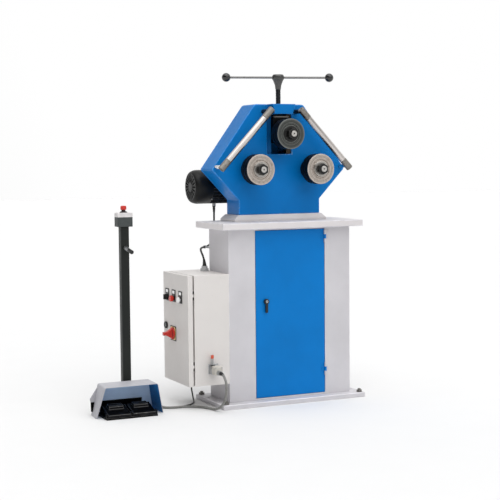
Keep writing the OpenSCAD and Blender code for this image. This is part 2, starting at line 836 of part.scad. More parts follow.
module roll(at) {
    for (i = [0 : 2]) difference() {
        disc_back = roll_back - i * (disc_t + groove_w);
        ring_y(at, [disc_back - disc_t, disc_back], roll_d / 2, spindle_r + fit);
        ring_y(at, [roll_front - 1, roll_front + face_groove], washer_d / 2 + 1 + 2 * face_groove,
            washer_d / 2 + 1);
    }
    for (i = [0 : 1]) {
        groove_back = roll_back - disc_t - i * (disc_t + groove_w);
        ring_y(at, [groove_back - groove_w, groove_back], groove_d / 2, spindle_r + fit);
    }
    ring_y(at, [washer_front, roll_front], washer_d / 2, thread_d / 2 + fit);
    difference() {
        hex_y(at, [nut_front, washer_front], nut_af);
        along_y(at, [nut_front - 1, washer_front + 1], thread_d / 2 + fit);
    }
}

function roll_angle(a) = tan(a) - a * PI / 180;

function tooth_half(teeth, module_mm, r) = let (pitch_r = teeth * module_mm / 2,
    base_r = pitch_r * cos(pressure),
    a = acos(min(1, base_r / max(r, base_r))))
    90 / teeth - backlash / pitch_r * 90 / PI + (roll_angle(pressure) - roll_angle(a)) * 180 / PI;

function gear_outline(teeth, module_mm) = let (pitch_r = teeth * module_mm / 2,
    radii = [pitch_r - 1.25 * module_mm, pitch_r - 0.5 * module_mm, pitch_r + 0.25 * module_mm,
        pitch_r + module_mm])
    [for (i = [0 : teeth - 1]) each concat(
        [for (k = [0 : 3]) let (a = 360 * i / teeth - tooth_half(teeth, module_mm, radii[k])) radii[k]
            * [cos(a), sin(a)]],
        [for (k = [3 : -1 : 0]) let (a = 360 * i / teeth + tooth_half(teeth, module_mm, radii[k]))
            radii[k] * [cos(a), sin(a)]])];

module spur_gear(at, teeth, turn, y) {
    translate([at[0], 0, at[1]]) front_view(y[0], y[1]) rotate(turn) polygon(gear_outline(teeth,
        gear_module));
}

module spindle_gear(at, turn) color("slategray") difference() {
    spur_gear(at, gear_teeth, turn, [gear_front, gear_front + gear_t]);
    along_y(at, [gear_front - 1, gear_front + gear_t + 1], spindle_r + fit);
}

module left_shaft() color("silver") spindle(left_at, shaft_back, collar_r, head_front + bearing_lip);

module right_shaft() color("silver") spindle(right_at, shaft_back, collar_r, head_front + bearing_lip);

module left_roll() color("darkgray") roll(left_at);

module right_roll() color("darkgray") roll(right_at);

module left_gear() spindle_gear(left_at, left_turn);

module right_gear() spindle_gear(right_at, right_turn);

module pinion_shaft() color("slategray") {
    along_y([0, pinion_z], [wall_back - pinion_bearing_w + 1, gear_front], pinion_r);
    spur_gear([0, pinion_z], pinion_teeth, mesh_angle, [gear_front - eps, gear_front + gear_t + eps]);
    along_y([0, pinion_z], [gear_front + gear_t, gearbox_cover_front + pinion_bearing_w], pinion_r);
}

// Worm gearbox
function wheel_outline() = let (tip = wheel_r + 0.6 * worm_module, root = wheel_r - 1.2 * worm_module)
    [for (i = [0 : wheel_teeth - 1]) let (a = 360 * i / wheel_teeth - 90, c = [cos(a), sin(a)],
        s = [-sin(a), cos(a)])
        each [root * c - 0.75 * worm_module * s, wheel_r * c - 0.5 * worm_module * s,
            tip * c - 0.2 * worm_module * s,
            tip * c + 0.2 * worm_module * s, wheel_r * c + 0.5 * worm_module * s,
                root * c + 0.75 * worm_module * s]];

module worm_wheel() color("darkgoldenrod") difference() {
    translate([0, 0, pinion_z]) front_view(wheel_front, wheel_front + wheel_t) polygon(wheel_outline());
    along_y([0, pinion_z], [wheel_front - 1, wheel_front + wheel_t + 1], pinion_r + fit);
}

module worm() color("gray") {
    translate([-worm_l / 2, motor_y, motor_z]) rotate([0, 90, 0])
        linear_extrude(worm_l, twist = -360 * worm_turns, slices = 12 * worm_turns, $fn = 20)
            translate([worm_depth, 0]) circle(r = worm_r - 0.1 * worm_module, $fn = 20);
    along_x(motor_y, motor_z, [-gearbox_half, gearbox_half - 4], worm_shaft_r);
}

module gearbox_housing() color("dimgray") {
    difference() {
        union() {
            along_y([0, pinion_z], [gearbox_front, gearbox_cover_front], gearbox_r);
            box([-gearbox_half, gearbox_half], [gearbox_front, gearbox_cover_front], [gearbox_low,
                pinion_z]);
        }
        along_y([0, pinion_z], [gearbox_bearing_back, gearbox_cover_front + 1], wheel_room);
        along_y([0, pinion_z], [gearbox_bearing_back - pinion_bearing_w, gearbox_cover_front],
            pinion_bearing_r);
        along_y([0, pinion_z], [gearbox_front - 1, gearbox_cover_front], pinion_r + 3);
        along_x(motor_y, motor_z, [-gearbox_half + worm_bearing_w, gearbox_half - worm_bearing_w],
            worm_r + worm_depth + 4);
        along_x(motor_y, motor_z, [-gearbox_half - 1, gearbox_half - 4], worm_bearing_r);
        for (x = [[-far, -gearbox_half], [gearbox_half, far]]) box(x, [gearbox_front - 1,
            gearbox_cover_front + 1], [0, 2 * pinion_z]);
    }
    difference() {
        along_y([0, pinion_z], [gearbox_cover_front, gearbox_cover_front + gearbox_cover_t],
            gearbox_r - 9);
        along_y([0, pinion_z], [gearbox_cover_front - 1, gearbox_cover_front + pinion_bearing_w],
            pinion_bearing_r);
    }
    ring_y([0, pinion_z], [gearbox_bearing_back - pinion_bearing_w, gearbox_bearing_back],
        pinion_bearing_r + fit, pinion_r + fit);
    ring_y([0, pinion_z], [gearbox_cover_front, gearbox_cover_front + pinion_bearing_w],
        pinion_bearing_r + fit, pinion_r + fit);
    for (x = [-gearbox_half, gearbox_half - 4 - worm_bearing_w]) difference() {
        along_x(motor_y, motor_z, [x, x + worm_bearing_w], worm_bearing_r + fit);
        along_x(motor_y, motor_z, [x - 1, x + worm_bearing_w + 1], worm_shaft_r + fit);
    }
}

// Motor
module motor_body() color("black") {
    difference() {
        union() {
            along_x(motor_y, motor_z, [motor_end, motor_left], motor_r - fin_h);
            along_x(motor_y, motor_z, [motor_left, -gearbox_half], motor_r - 2);
            for (i = [0 : fin_count - 1]) translate([motor_end + 8, motor_y, motor_z])
                rotate([360 * (i + 0.5) / fin_count, 0, 0])
                translate([0, -1.5, motor_r - fin_h - 3]) cube([motor_l - 10, 3, fin_h + 3]);
        }
        along_x(motor_y, motor_z, [motor_end + shield_t, motor_left - shield_t], stator_r);
        along_x(motor_y, motor_z, [motor_end - 1, -gearbox_half + 1], worm_shaft_r + fit);
        box([terminal_x - terminal_side / 2, terminal_x + terminal_side / 2], [terminal_y,
            motor_y + motor_r + 1],
            [motor_z - terminal_side / 2, motor_z + terminal_side / 2]);
    }
    difference() {
        along_x(motor_y, motor_z, [rotor_x, rotor_x + rotor_l], stator_r + 1);
        along_x(motor_y, motor_z, [rotor_x - 1, rotor_x + rotor_l + 1], rotor_d / 2 + air_gap);
    }
}

module motor_rotor() color("silver") {
    fan_x = motor_end - 40;
    along_x(motor_y, motor_z, [fan_x - 4, -gearbox_half], worm_shaft_r);
    difference() {
        along_x(motor_y, motor_z, [rotor_x, rotor_x + rotor_l], rotor_d / 2);
        along_x(motor_y, motor_z, [rotor_x - 1, rotor_x + rotor_l + 1], worm_shaft_r);
    }
    difference() {
        union() {
            along_x(motor_y, motor_z, [fan_x, fan_x + 30], 22);
            along_x(motor_y, motor_z, [fan_x + 26, fan_x + 30], motor_r - 18);
            for (i = [0 : 6]) translate([fan_x, motor_y, motor_z]) rotate([360 * i / 7, 0, 0])
                translate([0, -1.5, 15]) cube([28, 3, motor_r - 33]);
        }
        along_x(motor_y, motor_z, [fan_x - 1, fan_x + 31], worm_shaft_r);
    }
}

module motor_fan_cover() color("black") difference() {
    wall = 2;
    along_x(motor_y, motor_z, [fan_end, motor_end + 8], motor_r);
    along_x(motor_y, motor_z, [fan_end + wall, motor_end], motor_r - wall);
    along_x(motor_y, motor_z, [motor_end - 1, motor_end + 9], motor_r - fin_h);
    for (i = [0 : 17]) translate([fan_end - 1, motor_y, motor_z]) rotate([20 * i, 0, 0])
        translate([0, -3, 24]) cube([wall + 2, 6, motor_r - 42]);
}

module motor_terminal_box() color("black")
    box([terminal_x - terminal_side / 2, terminal_x + terminal_side / 2], [terminal_y,
        terminal_y + terminal_depth],
        [motor_z - terminal_side / 2, motor_z + terminal_side / 2]);

// Top slide
module top_block() color([0.1, 0.1, 0.1]) {
    half = block_w / 2;
    rear = wall_back + slide_gap;
    difference() {
        union() {
            box([-half, half], [block_front, rear], [block_low, block_top]);
            box([-half - lip, half + lip], [block_front, gib_front - slide_gap], [block_low, block_top]);
        }
        along_y(top_at, [block_front - 1, rear + 1], spindle_r + 6);
        along_y(top_at, [block_front + 5, block_front + 5 + 2 * top_bearing_w + 12], top_bearing_d / 2);
        along_y(top_at, [block_front + 5 + 2 * top_bearing_w, rear + 1], top_bearing_d / 2);
        along_z(0, screw_y, [block_top - foot_l, block_top + 1], screw_r + slide_gap);
    }
    difference() {
        box([-half - lip - 4, half + lip + 4], [rear, rear + rear_plate_t], [block_low, block_top]);
        along_y(top_at, [rear - 1, rear + rear_plate_t + 1], spindle_r + 6);
    }
    difference() {
        box([-half, half], [block_front, rear], [block_top, keeper_top]);
        along_z(0, screw_y, [block_top - 1, keeper_top + 1], neck_r + fit);
    }
    for (y = [block_front + 5, rear - top_bearing_w]) ring_y(top_at, [y, y + top_bearing_w],
        top_bearing_d / 2, spindle_r + fit);
    ring_y(top_at, [block_front + 5 + top_bearing_w, rear - top_bearing_w], top_bearing_d / 2,
        top_bearing_d / 2 - 5);
}

module top_shaft() color("silver") {
    rear = wall_back + slide_gap;
    spindle(top_at, rear + rear_plate_t + 2, spindle_r + 5, block_front + 5);
    ring_y(top_at, [rear + 0.5, rear + rear_plate_t - 1], spindle_r + 5, spindle_r);
}

module top_roll() color("dimgray") roll(top_at);

module feed_screw() color([0.2, 0.2, 0.2]) {
    along_z(0, screw_y, [block_top - foot_l + 1, block_top - slide_gap], screw_r);
    along_z(0, screw_y, [block_top - slide_gap - eps, keeper_top + slide_gap + eps], neck_r);
    along_z(0, screw_y, [keeper_top + slide_gap, hub_z], screw_r);
    along_z(0, screw_y, [hub_z - eps, hub_z + spigot_l], spigot_r);
}

// The handle's bar stands a little askew
module at_handle() translate([0, screw_y, bar_z]) rotate([0, 0, handle_turn]) children();

module handle_bar() {
    l = knob_span - knob_d + 2 * knob_depth;
    at_handle() along_x(0, 0, [-l / 2, l / 2], bar_d / 2);
}

module screw_handle() color("dimgray") {
    neck = screw_r + 1;
    difference() {
        translate([0, screw_y, hub_z]) rotate_extrude() polygon([[0, 0], [neck - 2, 0], [neck, 4],
            [neck + 2, 0.3 * hub_h], [hub_d / 2 - 5, 0.6 * hub_h], [hub_d / 2, 0.72 * hub_h],
            [hub_d / 2, hub_h - 8], [hub_d / 2 - 5, hub_h], [0, hub_h]]);
        translate([0, screw_y, hub_z - 1]) cylinder(h = spigot_l + 2, r = spigot_r + fit);
    }
    handle_bar();
}

module handle_knobs() color("black") for (side = [-1, 1]) difference() {
    at_handle() translate([side * knob_span / 2, 0, 0]) sphere(d = knob_d);
    handle_bar();
}

// Control box
module ebox_body() color("lightgray") difference() {
    box([ebox_x, -stand_w / 2], [ebox_y, ebox_back], [ebox_z, ebox_top]);
    box([ebox_x + ebox_t, -stand_w / 2 - ebox_t], [ebox_y + ebox_t, ebox_back - ebox_t],
        [ebox_z + ebox_t, ebox_top - ebox_t]);
    box([ebox_x - 1, ebox_x + ebox_t + 1], [ebox_y + seal_inset + seal_w,
        ebox_back - seal_inset - seal_w],
        [ebox_z + seal_inset + seal_w, ebox_top - seal_inset - seal_w]);
}

module ebox_components() color("darkkhaki") {
    box([plate_x, plate_x + 2], [ebox_y + 25, ebox_back - 25], [ebox_z + 25, ebox_top - 25]);
    box([plate_x + 2, -stand_w / 2 - ebox_t], [ebox_y + 40, ebox_y + 60], [ebox_z + 40, ebox_z + 60]);
    box([plate_x + 2, -stand_w / 2 - ebox_t], [ebox_back - 60, ebox_back - 40], [ebox_top - 60,
        ebox_top - 40]);
    for (i = [0 : 2]) box([plate_x - 80, plate_x], [ebox_y + 50 + 56 * i, ebox_y + 96 + 56 * i],
        [ebox_top - 160, ebox_top - 80]);
    box([plate_x - 75, plate_x], [ebox_y + 60, ebox_y + 150], [ebox_z + 70, ebox_z + 160]);
    box([plate_x - 45, plate_x], [ebox_y + 50, ebox_back - 50], [ebox_z + 200, ebox_z + 240]);
}

module ebox_door() color("lightgray") {
    difference() {
        box([door_out, door_in], [ebox_y, ebox_back], [ebox_z, ebox_top]);
        box([door_out + ebox_t, door_in + 1], [ebox_y + ebox_t, ebox_back - ebox_t], [ebox_z + ebox_t,
            ebox_top - ebox_t]);
        for (i = [-1 : 1]) along_x(button_y + i * button_pitch, button_z, [door_out - 1, door_in],
            bush_r);
        along_x(switch_y, switch_z, [door_out - 1, door_in], 8 + fit);
        along_x(lock_y, lock_z, [door_out - 1, door_in], lock_stem_r + fit);
    }
    for (rise = ebox_hinge_rises) ebox_knuckle(ebox_z + rise + ebox_hinge_l / 3 + fit,
        ebox_z + rise + 2 * ebox_hinge_l / 3 - fit);
    difference() {
        box([door_out + ebox_t, ebox_x - seal_play], [ebox_y + seal_inset, ebox_back - seal_inset],
            [ebox_z + seal_inset, ebox_top - seal_inset]);
        box([door_out, ebox_x], [ebox_y + seal_inset + seal_w, ebox_back - seal_inset - seal_w],
            [ebox_z + seal_inset + seal_w, ebox_top - seal_inset - seal_w]);
    }
}

module ebox_knuckle(z0, z1) difference() {
    union() {
        along_z(ebox_hinge[0], ebox_hinge[1], [z0, z1], ebox_knuckle_r);
        box([door_in - 12, door_in + 0.5], [ebox_y + 1, ebox_hinge[1] + ebox_knuckle_r], [z0, z1]);
    }
    along_z(ebox_hinge[0], ebox_hinge[1], [z0 - 1, z1 + 1], ebox_hinge_r + fit);
}

module control_plates() color([0.1, 0.1, 0.1]) {
    for (i = [-1 : 1]) difference() {
        union() {
            box([door_out - plate_t, door_out], [button_y + i * button_pitch - legend_w / 2,
                button_y + i * button_pitch + legend_w / 2],
                [button_z + legend_rise - legend_h / 2, button_z + legend_rise + legend_h / 2]);
            along_x(button_y + i * button_pitch, button_z, [door_out - plate_t, door_in - 2], bush_r);
        }
        along_x(button_y + i * button_pitch, button_z, [door_out - plate_t - 1, door_in], bush_r - 3);
    }
    difference() {
        box([door_out - plate_t, door_out], [switch_y - switch_side / 2, switch_y + switch_side / 2],
            [switch_z - switch_side / 2, switch_z + switch_side / 2]);
        along_x(switch_y, switch_z, [door_out - plate_t - 1, door_out + 1], 8 + fit);
    }
}

module push_button(i, cap_r, l) {
    face = door_out - plate_t - button_gap;
    along_x(button_y + i * button_pitch, button_z, [face - l, face], cap_r);
    along_x(button_y + i * button_pitch, button_z, [face, door_in - 4], bush_r - 3 - fit);
}

module selector_knob() color("black") {
    face = door_out - plate_t - fit;
    along_x(button_y + button_pitch, button_z, [face - button_l, face], button_d / 2 - 1);
    box([face - button_l - 10, face - button_l + eps],
        [button_y + button_pitch - 4, button_y + button_pitch + 4], [button_z - 12, button_z + 12]);
    along_x(button_y + button_pitch, button_z, [face, door_in - 4], bush_r - 3 - fit);
}

module stop_push() color("red") push_button(0, button_d / 2, button_l + 6);

module start_push() color("white") push_button(-1, button_d / 2 - 1, button_l);

// Outline of the switch grip: distance out from its hub's back, and height
switch_grip = let (half = switch_hub_r - 3) [[-8 + eps, -half], [-0.6 * switch_l, -0.45 * half],
    [-0.8 * switch_l, -0.3 * half],
    [-switch_l, -0.36 * half], [-switch_l, 0.36 * half], [-0.8 * switch_l, 0.3 * half],
        [-0.6 * switch_l, 0.45 * half],
    [-8 + eps, half]];

module switch_handle() color("red") {
    face = door_out - plate_t - fit;
    along_x(switch_y, switch_z, [face, door_in + 2], 8);
    along_x(switch_y, switch_z, [face - 8, face], switch_hub_r);
    translate([face, 0, switch_z]) front_view(switch_y - 9, switch_y + 9) polygon(switch_grip);
}

module ebox_lock() color("silver") {
    difference() {
        along_x(lock_y, lock_z, [door_out - 8, door_out - fit], lock_r);
        along_x(lock_y, lock_z, [door_out - 9, door_out - 3], lock_r - 5);
    }
    box([door_out - 6, door_out - 3 + eps], [lock_y - 2, lock_y + 2], [lock_z - 7, lock_z + 7]);
    along_x(lock_y, lock_z, [door_out - fit, door_in - 2], lock_stem_r);
    box([door_in - 6, door_in - 2], [lock_y - 6, lock_y + 6], [lock_z - 30, lock_z + 6]);
}

// Connector
module connector_base() color("silver") {
    box([plug_x - plug_w / 2 - 3, plug_x + plug_w / 2 + 3], [ebox_y - 4, ebox_y],
        [plug_z - plug_h / 2 - 3, plug_z + plug_h / 2 + 3]);
    difference() {
        box([plug_x - plug_w / 2, plug_x + plug_w / 2], [ebox_y - plug_base_l, ebox_y - 4],
            [plug_z - plug_h / 2, plug_z + plug_h / 2]);
        box([lever_x - lever_half - 2, lever_x + lever_half + 2], [ebox_y - plug_base_l - 1, lever_y + 6],
            [lever_z - 6, plug_z + plug_h]);
    }
    along_x(lever_y, lever_z, [lever_x - lever_half - 3, lever_x + lever_half + 3], 2.5);
}

module connector_lever() color("firebrick") difference() {
    union() {
        for (x = [lever_x - lever_half, lever_x + lever_half - 4]) {
            along_x(lever_y, lever_z, [x, x + 4], 4.5);
            box([x, x + 4], [lever_y - 3, lever_y + 3], [lever_z, lever_z + lever_l]);
        }
        box([lever_x - lever_half, lever_x + lever_half], [lever_y - 6, lever_y + 4],
            [lever_z + lever_l - 16, lever_z + lever_l]);
    }
    along_x(lever_y, lever_z, [lever_x - 20, lever_x + 20], 2.5 + fit);
}

module connector_hood() color("silver") {
    y = [plug_hood_front, ebox_y - plug_base_l];
    box([plug_x - plug_w / 2 + 1, plug_x + plug_w / 2 - 1], y, [plug_z - plug_h / 2 + 1,
        plug_z + plug_h / 2 - 1]);
    along_y([plug_x, plug_nose_z], [plug_hood_front - plug_nose_l, plug_hood_front], plug_nose_r);
}

module pedal_cable() color("gray") cable(pedal_cable_route, pedal_cable_d);

module stop_cable() color([0.2, 0.2, 0.2]) cable(stop_cable_route, stop_cable_d, 8);

module motor_cable() color("black") cable(motor_cable_route, motor_cable_d);

module cable_fittings() color("gray") {
    top = motor_cable_route[len(motor_cable_route) - 1];
    along_z(top[0], top[1], [ebox_top, top[2]], 14);
    translate([top[0], top[1], ebox_top]) cylinder(h = 14, r = 21, $fn = 6);
    along_z(motor_cable_route[0][0], motor_cable_route[0][1],
        [motor_cable_route[0][2], motor_z - terminal_side / 2], 9);
    along_z(stop_cable_route[0][0], stop_cable_route[0][1], [stop_cable_route[0][2], ebox_z], 8);
    for (at = [pedal_inlet, stop_inlet]) along_y(at, [pedal_back + 1, pedal_back + 1 + inlet_l], inlet_r);
    difference() {
        union() {
            along_y([clip_at[0], clip_at[2]], [stand_d / 2, clip_at[1]], 4);
            at_clip(12) cylinder(h = 12, r = motor_cable_d / 2 + 3);
        }
        at_clip(40) cylinder(h = 40, r = motor_cable_d / 2 + 0.3);
    }
}

module at_clip(l) {
    v = heading(motor_cable_route, clip_index);
    translate(clip_at - v * l / 2) rotate([0, acos(v[2]), atan2(v[1], v[0])]) children();
}

// Foot pedal
module pedal_base() color([0.15, 0.15, 0.15]) {
    x = [pedal_x - pedal_base_w / 2, pedal_x + pedal_base_w / 2];
    difference() {
        union() {
            box(x, [pedal_front, pedal_back], [0, pedal_base_t]);
            box([tail_x - tail_w / 2, tail_x + tail_w / 2], [pedal_back - 1, tail_back], [0,
                pedal_base_t]);
            for (lug = [x[0], pedal_x - lug_t / 2, x[1] - lug_t])
                box([lug, lug + lug_t], [pin_y - 12, pin_y + 12], [pedal_base_t - eps, pin_z + 10]);
            translate([x[0] + 20, 0, 0]) rotate([90, 0, 90]) linear_extrude(pedal_base_w - 40) polygon([
                [hood_inside(0) - 6, pedal_base_t - 1], [hood_inside(pedal_base_t), pedal_base_t - 1],
                [hood_inside(pedal_base_t), pedal_base_t], [hood_inside(60), 60], [hood_inside(60) - 4,
                    60]]);
        }
        along_x(pin_y, pin_z, [x[0] - 1, x[1] + 1], pin_r);
    }
    along_x(pin_y, pin_z, x, pin_r);
}

module pedal(middle) {
    plate = [[-14, -5], [8, -5], [74, 26], [74, 33], [-4, 8], [-14, 4]];
    tread = [[34, 17], [34, 32], [40, 37], [68, 41], [72, 39], [72, 30]];
    tread_w = 0.64 * pedal_w;
    difference() {
        union() {
            translate([middle - pedal_w / 2, pin_y, pin_z]) rotate([90, 0, 90]) linear_extrude(pedal_w)
                polygon(plate);
            translate([middle - tread_w / 2, pin_y, pin_z]) rotate([90, 0, 90]) linear_extrude(tread_w)
                polygon(tread);
        }
        along_x(pin_y, pin_z, [middle - pedal_w, middle + pedal_w], pin_r + fit);
    }
}

module left_pedal() color([0.1, 0.1, 0.1]) pedal(pedal_x - (pedal_base_w - lug_t) / 4);

module right_pedal() color([0.1, 0.1, 0.1]) pedal(pedal_x + (pedal_base_w - lug_t) / 4);

// Middles of the hood's rounded corners on one side, as [half width, y, z]: on the floor, then at the top
function hood_feet(reach) = [[150, -66 - reach, 0], [140, hood_back - hood_r, 0]];

function hood_tops(reach) = [[118, -92 - reach, hood_h - hood_r], [114, hood_back - hood_r - hood_lean,
    hood_h - 4]];

// The same corners carried down below the floor
function hood_corners(reach, drop) = let (feet = hood_feet(reach), tops = hood_tops(reach))
    concat(tops, [for (i = [0, 1]) feet[i] - (tops[i] - feet[i]) * drop / tops[i][2]]);

module hood_shape(r, reach, drop) hull() for (side = [-1, 1], c = hood_corners(reach, drop))
    translate([hood_x + side * c[0], c[1], c[2]]) sphere(r = r, $fn = 24);

// Left side of the hood at height z, a little inside its outer face, and the lug that stands out from it
function hood_edge(z) = let (foot = hood_feet(0)[1][0], top = hood_tops(0)[1][0])
    hood_x - foot - hood_r + 0.8 + (foot - top) * z / (hood_h - 4);
hood_lug = [[hood_edge(128), 128], [hood_x - 159, 74], [hood_x - 155, 60], [hood_x - 154, 18],
    [hood_edge(15), 15]];

module pedal_hood() color("lightsteelblue") {
    difference() {
        hood_shape(hood_r, 0, 30);
        hood_shape(hood_r - hood_wall, 60, 60);
        box([hood_x - far, hood_x + far], [-far, far], [-far, 0]);
        box([tail_x - tail_w / 2 - 1, tail_x + tail_w / 2 + 1], [0, far], [-1, pedal_base_t + 1]);
        for (at = [pedal_inlet, stop_inlet]) along_y(at, [0, far], inlet_r + 0.1);
    }
    front_view(hood_back - 28, hood_back - 25) polygon(hood_lug);
}

module pedal_post() color([0.12, 0.12, 0.12]) {
    wall = 3;
    y = [post_y - post_depth / 2, post_y + post_depth / 2];
    difference() {
        box([tail_x - post_w / 2, tail_x + post_w / 2], y, [pedal_base_t, post_top]);
        box([tail_x - post_w / 2 + wall, tail_x + post_w / 2 - wall], [y[0] + wall, y[1] - wall],
            [pedal_base_t - 1, post_top + 1]);
        translate([tail_x, y[0], grip_z]) rotate([90 + grip_tilt, 0, 0]) translate([0, 0, -6])
            cylinder(h = 12, r = 5);
    }
    translate([tail_x, y[0], grip_z]) rotate([90 + grip_tilt, 0, 0]) {
        translate([0, 0, -6]) cylinder(h = 10, r = 5);
        translate([0, 0, 4]) cylinder(h = grip_l - 4, r = grip_r);
    }
}

module stop_box() color("lightgray") {
    x = [tail_x - stop_w / 2, tail_x + stop_w / 2];
    y = [post_y - stop_depth / 2, post_y + stop_depth / 2];
    box(x, y, [post_top, post_top + stop_h]);
    difference() {
        union() {
            box(x, y, [post_top + stop_h, lid_top]);
            along_z(tail_x, post_y, [lid_top - eps, lid_top + stop_neck_h - stop_travel - 1],
                stop_d / 2 - 2);
        }
        along_z(tail_x, post_y, [lid_top - 14, lid_top + 50], 9 + fit);
    }
}

module stop_mushroom() color("red") {
    low = lid_top + stop_neck_h;
    along_z(tail_x, post_y, [lid_top - 7, low + eps], 9);
    translate([tail_x, post_y, low]) rotate_extrude() polygon([[0, 0], [stop_d / 2 - 2, 0],
        [stop_d / 2, 3],
        [stop_d / 2, 0.75 * stop_cap_h], [stop_d / 2 - 2, 0.92 * stop_cap_h], [stop_d / 2 - 5,
            stop_cap_h], [0, stop_cap_h]]);
}

base_plate();
stand_body();
table_top();
riser_plate();
levelling_bolts();
stand_door();
stand_door_handle();
door_hinges();
head_housing();
head_rear_cover();
head_bearings();
slide_gibs();
screw_bridge();
guide_posts();
guide_rods();
left_guide_roller();
right_guide_roller();
left_shaft();
left_roll();
left_gear();
right_shaft();
right_roll();
right_gear();
pinion_shaft();
worm_wheel();
worm();
motor_rotor();
top_block();
top_shaft();
top_roll();
feed_screw();
screw_handle();
handle_knobs();
gearbox_housing();
motor_body();
motor_fan_cover();
motor_terminal_box();
motor_cable();
cable_fittings();
ebox_body();
ebox_components();
ebox_door();
control_plates();
switch_handle();
selector_knob();
stop_push();
start_push();
ebox_lock();
connector_base();
connector_lever();
connector_hood();
pedal_cable();
stop_cable();
pedal_base();
left_pedal();
right_pedal();
pedal_hood();
pedal_post();
stop_box();
stop_mushroom();
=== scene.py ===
"""The angle roll bender in a pale studio, seen as in the photograph.

Lengths are in metres, in the frame of the CAD model: +Z up, -Y to the front, the floor at z = 0.
Most pieces are copies of the CAD nodes with rounded edges and their own finishes; threads, screws,
inserts and cables are modelled here.
"""
import json
import math

import bmesh
import bpy
from mathutils import Matrix, Vector

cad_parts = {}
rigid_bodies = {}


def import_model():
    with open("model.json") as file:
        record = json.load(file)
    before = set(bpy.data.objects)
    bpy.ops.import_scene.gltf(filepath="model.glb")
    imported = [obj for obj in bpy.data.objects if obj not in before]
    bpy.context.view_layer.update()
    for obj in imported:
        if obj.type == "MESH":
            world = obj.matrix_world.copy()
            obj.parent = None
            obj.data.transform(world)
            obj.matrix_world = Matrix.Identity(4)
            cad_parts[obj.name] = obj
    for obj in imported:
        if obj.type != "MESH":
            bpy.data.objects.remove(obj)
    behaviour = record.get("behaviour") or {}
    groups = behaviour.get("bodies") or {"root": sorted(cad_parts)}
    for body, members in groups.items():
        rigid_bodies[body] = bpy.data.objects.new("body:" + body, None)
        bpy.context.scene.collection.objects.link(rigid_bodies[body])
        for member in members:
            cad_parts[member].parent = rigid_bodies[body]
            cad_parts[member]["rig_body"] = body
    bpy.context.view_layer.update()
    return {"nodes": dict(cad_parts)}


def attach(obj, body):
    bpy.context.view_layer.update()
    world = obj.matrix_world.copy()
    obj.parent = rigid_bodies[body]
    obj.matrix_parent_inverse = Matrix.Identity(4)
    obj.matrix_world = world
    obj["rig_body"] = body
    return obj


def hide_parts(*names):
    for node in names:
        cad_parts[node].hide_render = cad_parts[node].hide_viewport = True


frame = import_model()

# Slack when a face's place is compared, and how far small screws sink into their faces
HAIR = 1e-4
SEAT = 0.0003

# The camera: place, then yaw, pitch and roll in degrees, then lens and sensor width in millimetres
CAMERA_PLACE = (-2.624, -5.276, 1.129)
CAMERA_TURN = (25.09, -4.15, -0.51)
CAMERA_LENS = 90.6
CAMERA_SENSOR = 36

# Places and sizes shared with the CAD model
ROLL_AXES = {"left": (-0.154, 1.079), "right": (0.154, 1.079), "top": (0.0, 1.241)}
ROLL_FRONT = -0.126
WASHER_FRONT = -0.132
STUB_FRONT = -0.160
ROLL_RADIUS = 0.070
GROOVE_RADIUS = 0.046
HEAD_BACK = 0.132
HEAD_HOLES = (-0.3224, -0.1540, -0.0826, 0, 0.0826, 0.1540, 0.3224)
POST_PLACES = [(0.0826, 1.3458, 0.0125), (0.3224, 1.0912, 0.0125)]
BORE_RADIUS = 0.041
BORES = [(0.154, 1.079, BORE_RADIUS)]
GUIDE_SPLIT = 1.2
CAP_FRONT = -0.016
CAP_BOLTS = 0.039
REAR_SCREWS = [(0.190, 0.888), (0.192, 0.942), (0.266, 1.020), (0.323, 1.080), (0.223, 1.221), (0.112, 1.364)]
BLOCK_TOP = 1.320
SCREW_Y = 0.004
SCREW_RADIUS = 0.012
SCREW_SPAN = (1.3263, 1.4470)
SCREW_PITCH = 0.005
SCREW_DEPTH = 0.0017
SCREW_PLAIN = [(0.0120, 1.3010, 1.3197), (0.0085, 1.3190, 1.3268), (0.0090, 1.4465, 1.4830)]
NUT_BUSH_RADIUS = 0.020
HUB_RADIUS = 0.028
GUIDE_LEAN = 43.3
STAND_FRONT = -0.111
BASE_HOLES = 0.345
BASE_DEPTH = 0.328
DOOR_HANDLE = (-0.128, 0.476)
HANDLE_HOLE = 0.010
DOOR_LEAVES_X = 0.158
DOOR_LEAVES = [(0.131, 0.153), (0.754, 0.776)]
EBOX_PLATE = -0.3275
DOOR_INNER = -0.4905
DOOR_OUTER = -0.5125
PLATE_OUTER = -0.5145
BUTTONS_Y = {"selector": 0.140, "red": 0.060, "white": -0.020}
BUTTON_Z = 0.495
PUSH_STEM = 0.0075
SWITCH = (0.070, 0.333)
SWITCH_HUB_RADIUS = 0.027
LOCK = (0.155, 0.362)
LOCK_CORE = 0.0108
LEGEND_Z = (0.5165, 0.5295)
PLUG_X = -0.3945
PLUG_FRONT = -0.175
PLUG_NOSE_Z = 0.176
PLUG_NOSE_RADIUS = 0.010
LEVER_BREAK = 0.235
MOTOR_AXIS = (0.218, 0.9984)
MOTOR_RADIUS = 0.080
FAN_COVER = (-0.359, -0.271)
FAN_FLANGE = 0.008
FAN_SHOULDER = (0.034, 0.016)
FAN_SHOULDER_STEPS = 10
FAN_RADII = (0.0600, 0.0480, 0.0360, 0.0250)
FAN_SLOTS = 18
FAN_STEP = math.tau / FAN_SLOTS
FAN_SLOT_WIDTH = 0.006
PINION_Z = 1.0614
GEARBOX_BACK = 0.273
GEARBOX_SCREWS = 0.048
TERMINAL_DEPTH = (0.285, 0.331)
TERMINAL_X = -0.200
TERMINAL_HALF = 0.045
TERMINAL_SCREWS = 0.036
PEDAL_PIN = (-0.112, 0.016)
PEDAL_BORE = 0.0042
HOOD_MIDDLE = Vector((-0.779, -0.030, 0.050))
LUG_BREAK = 0.0605
LUG_DEPTH = (0.007, 0.012)
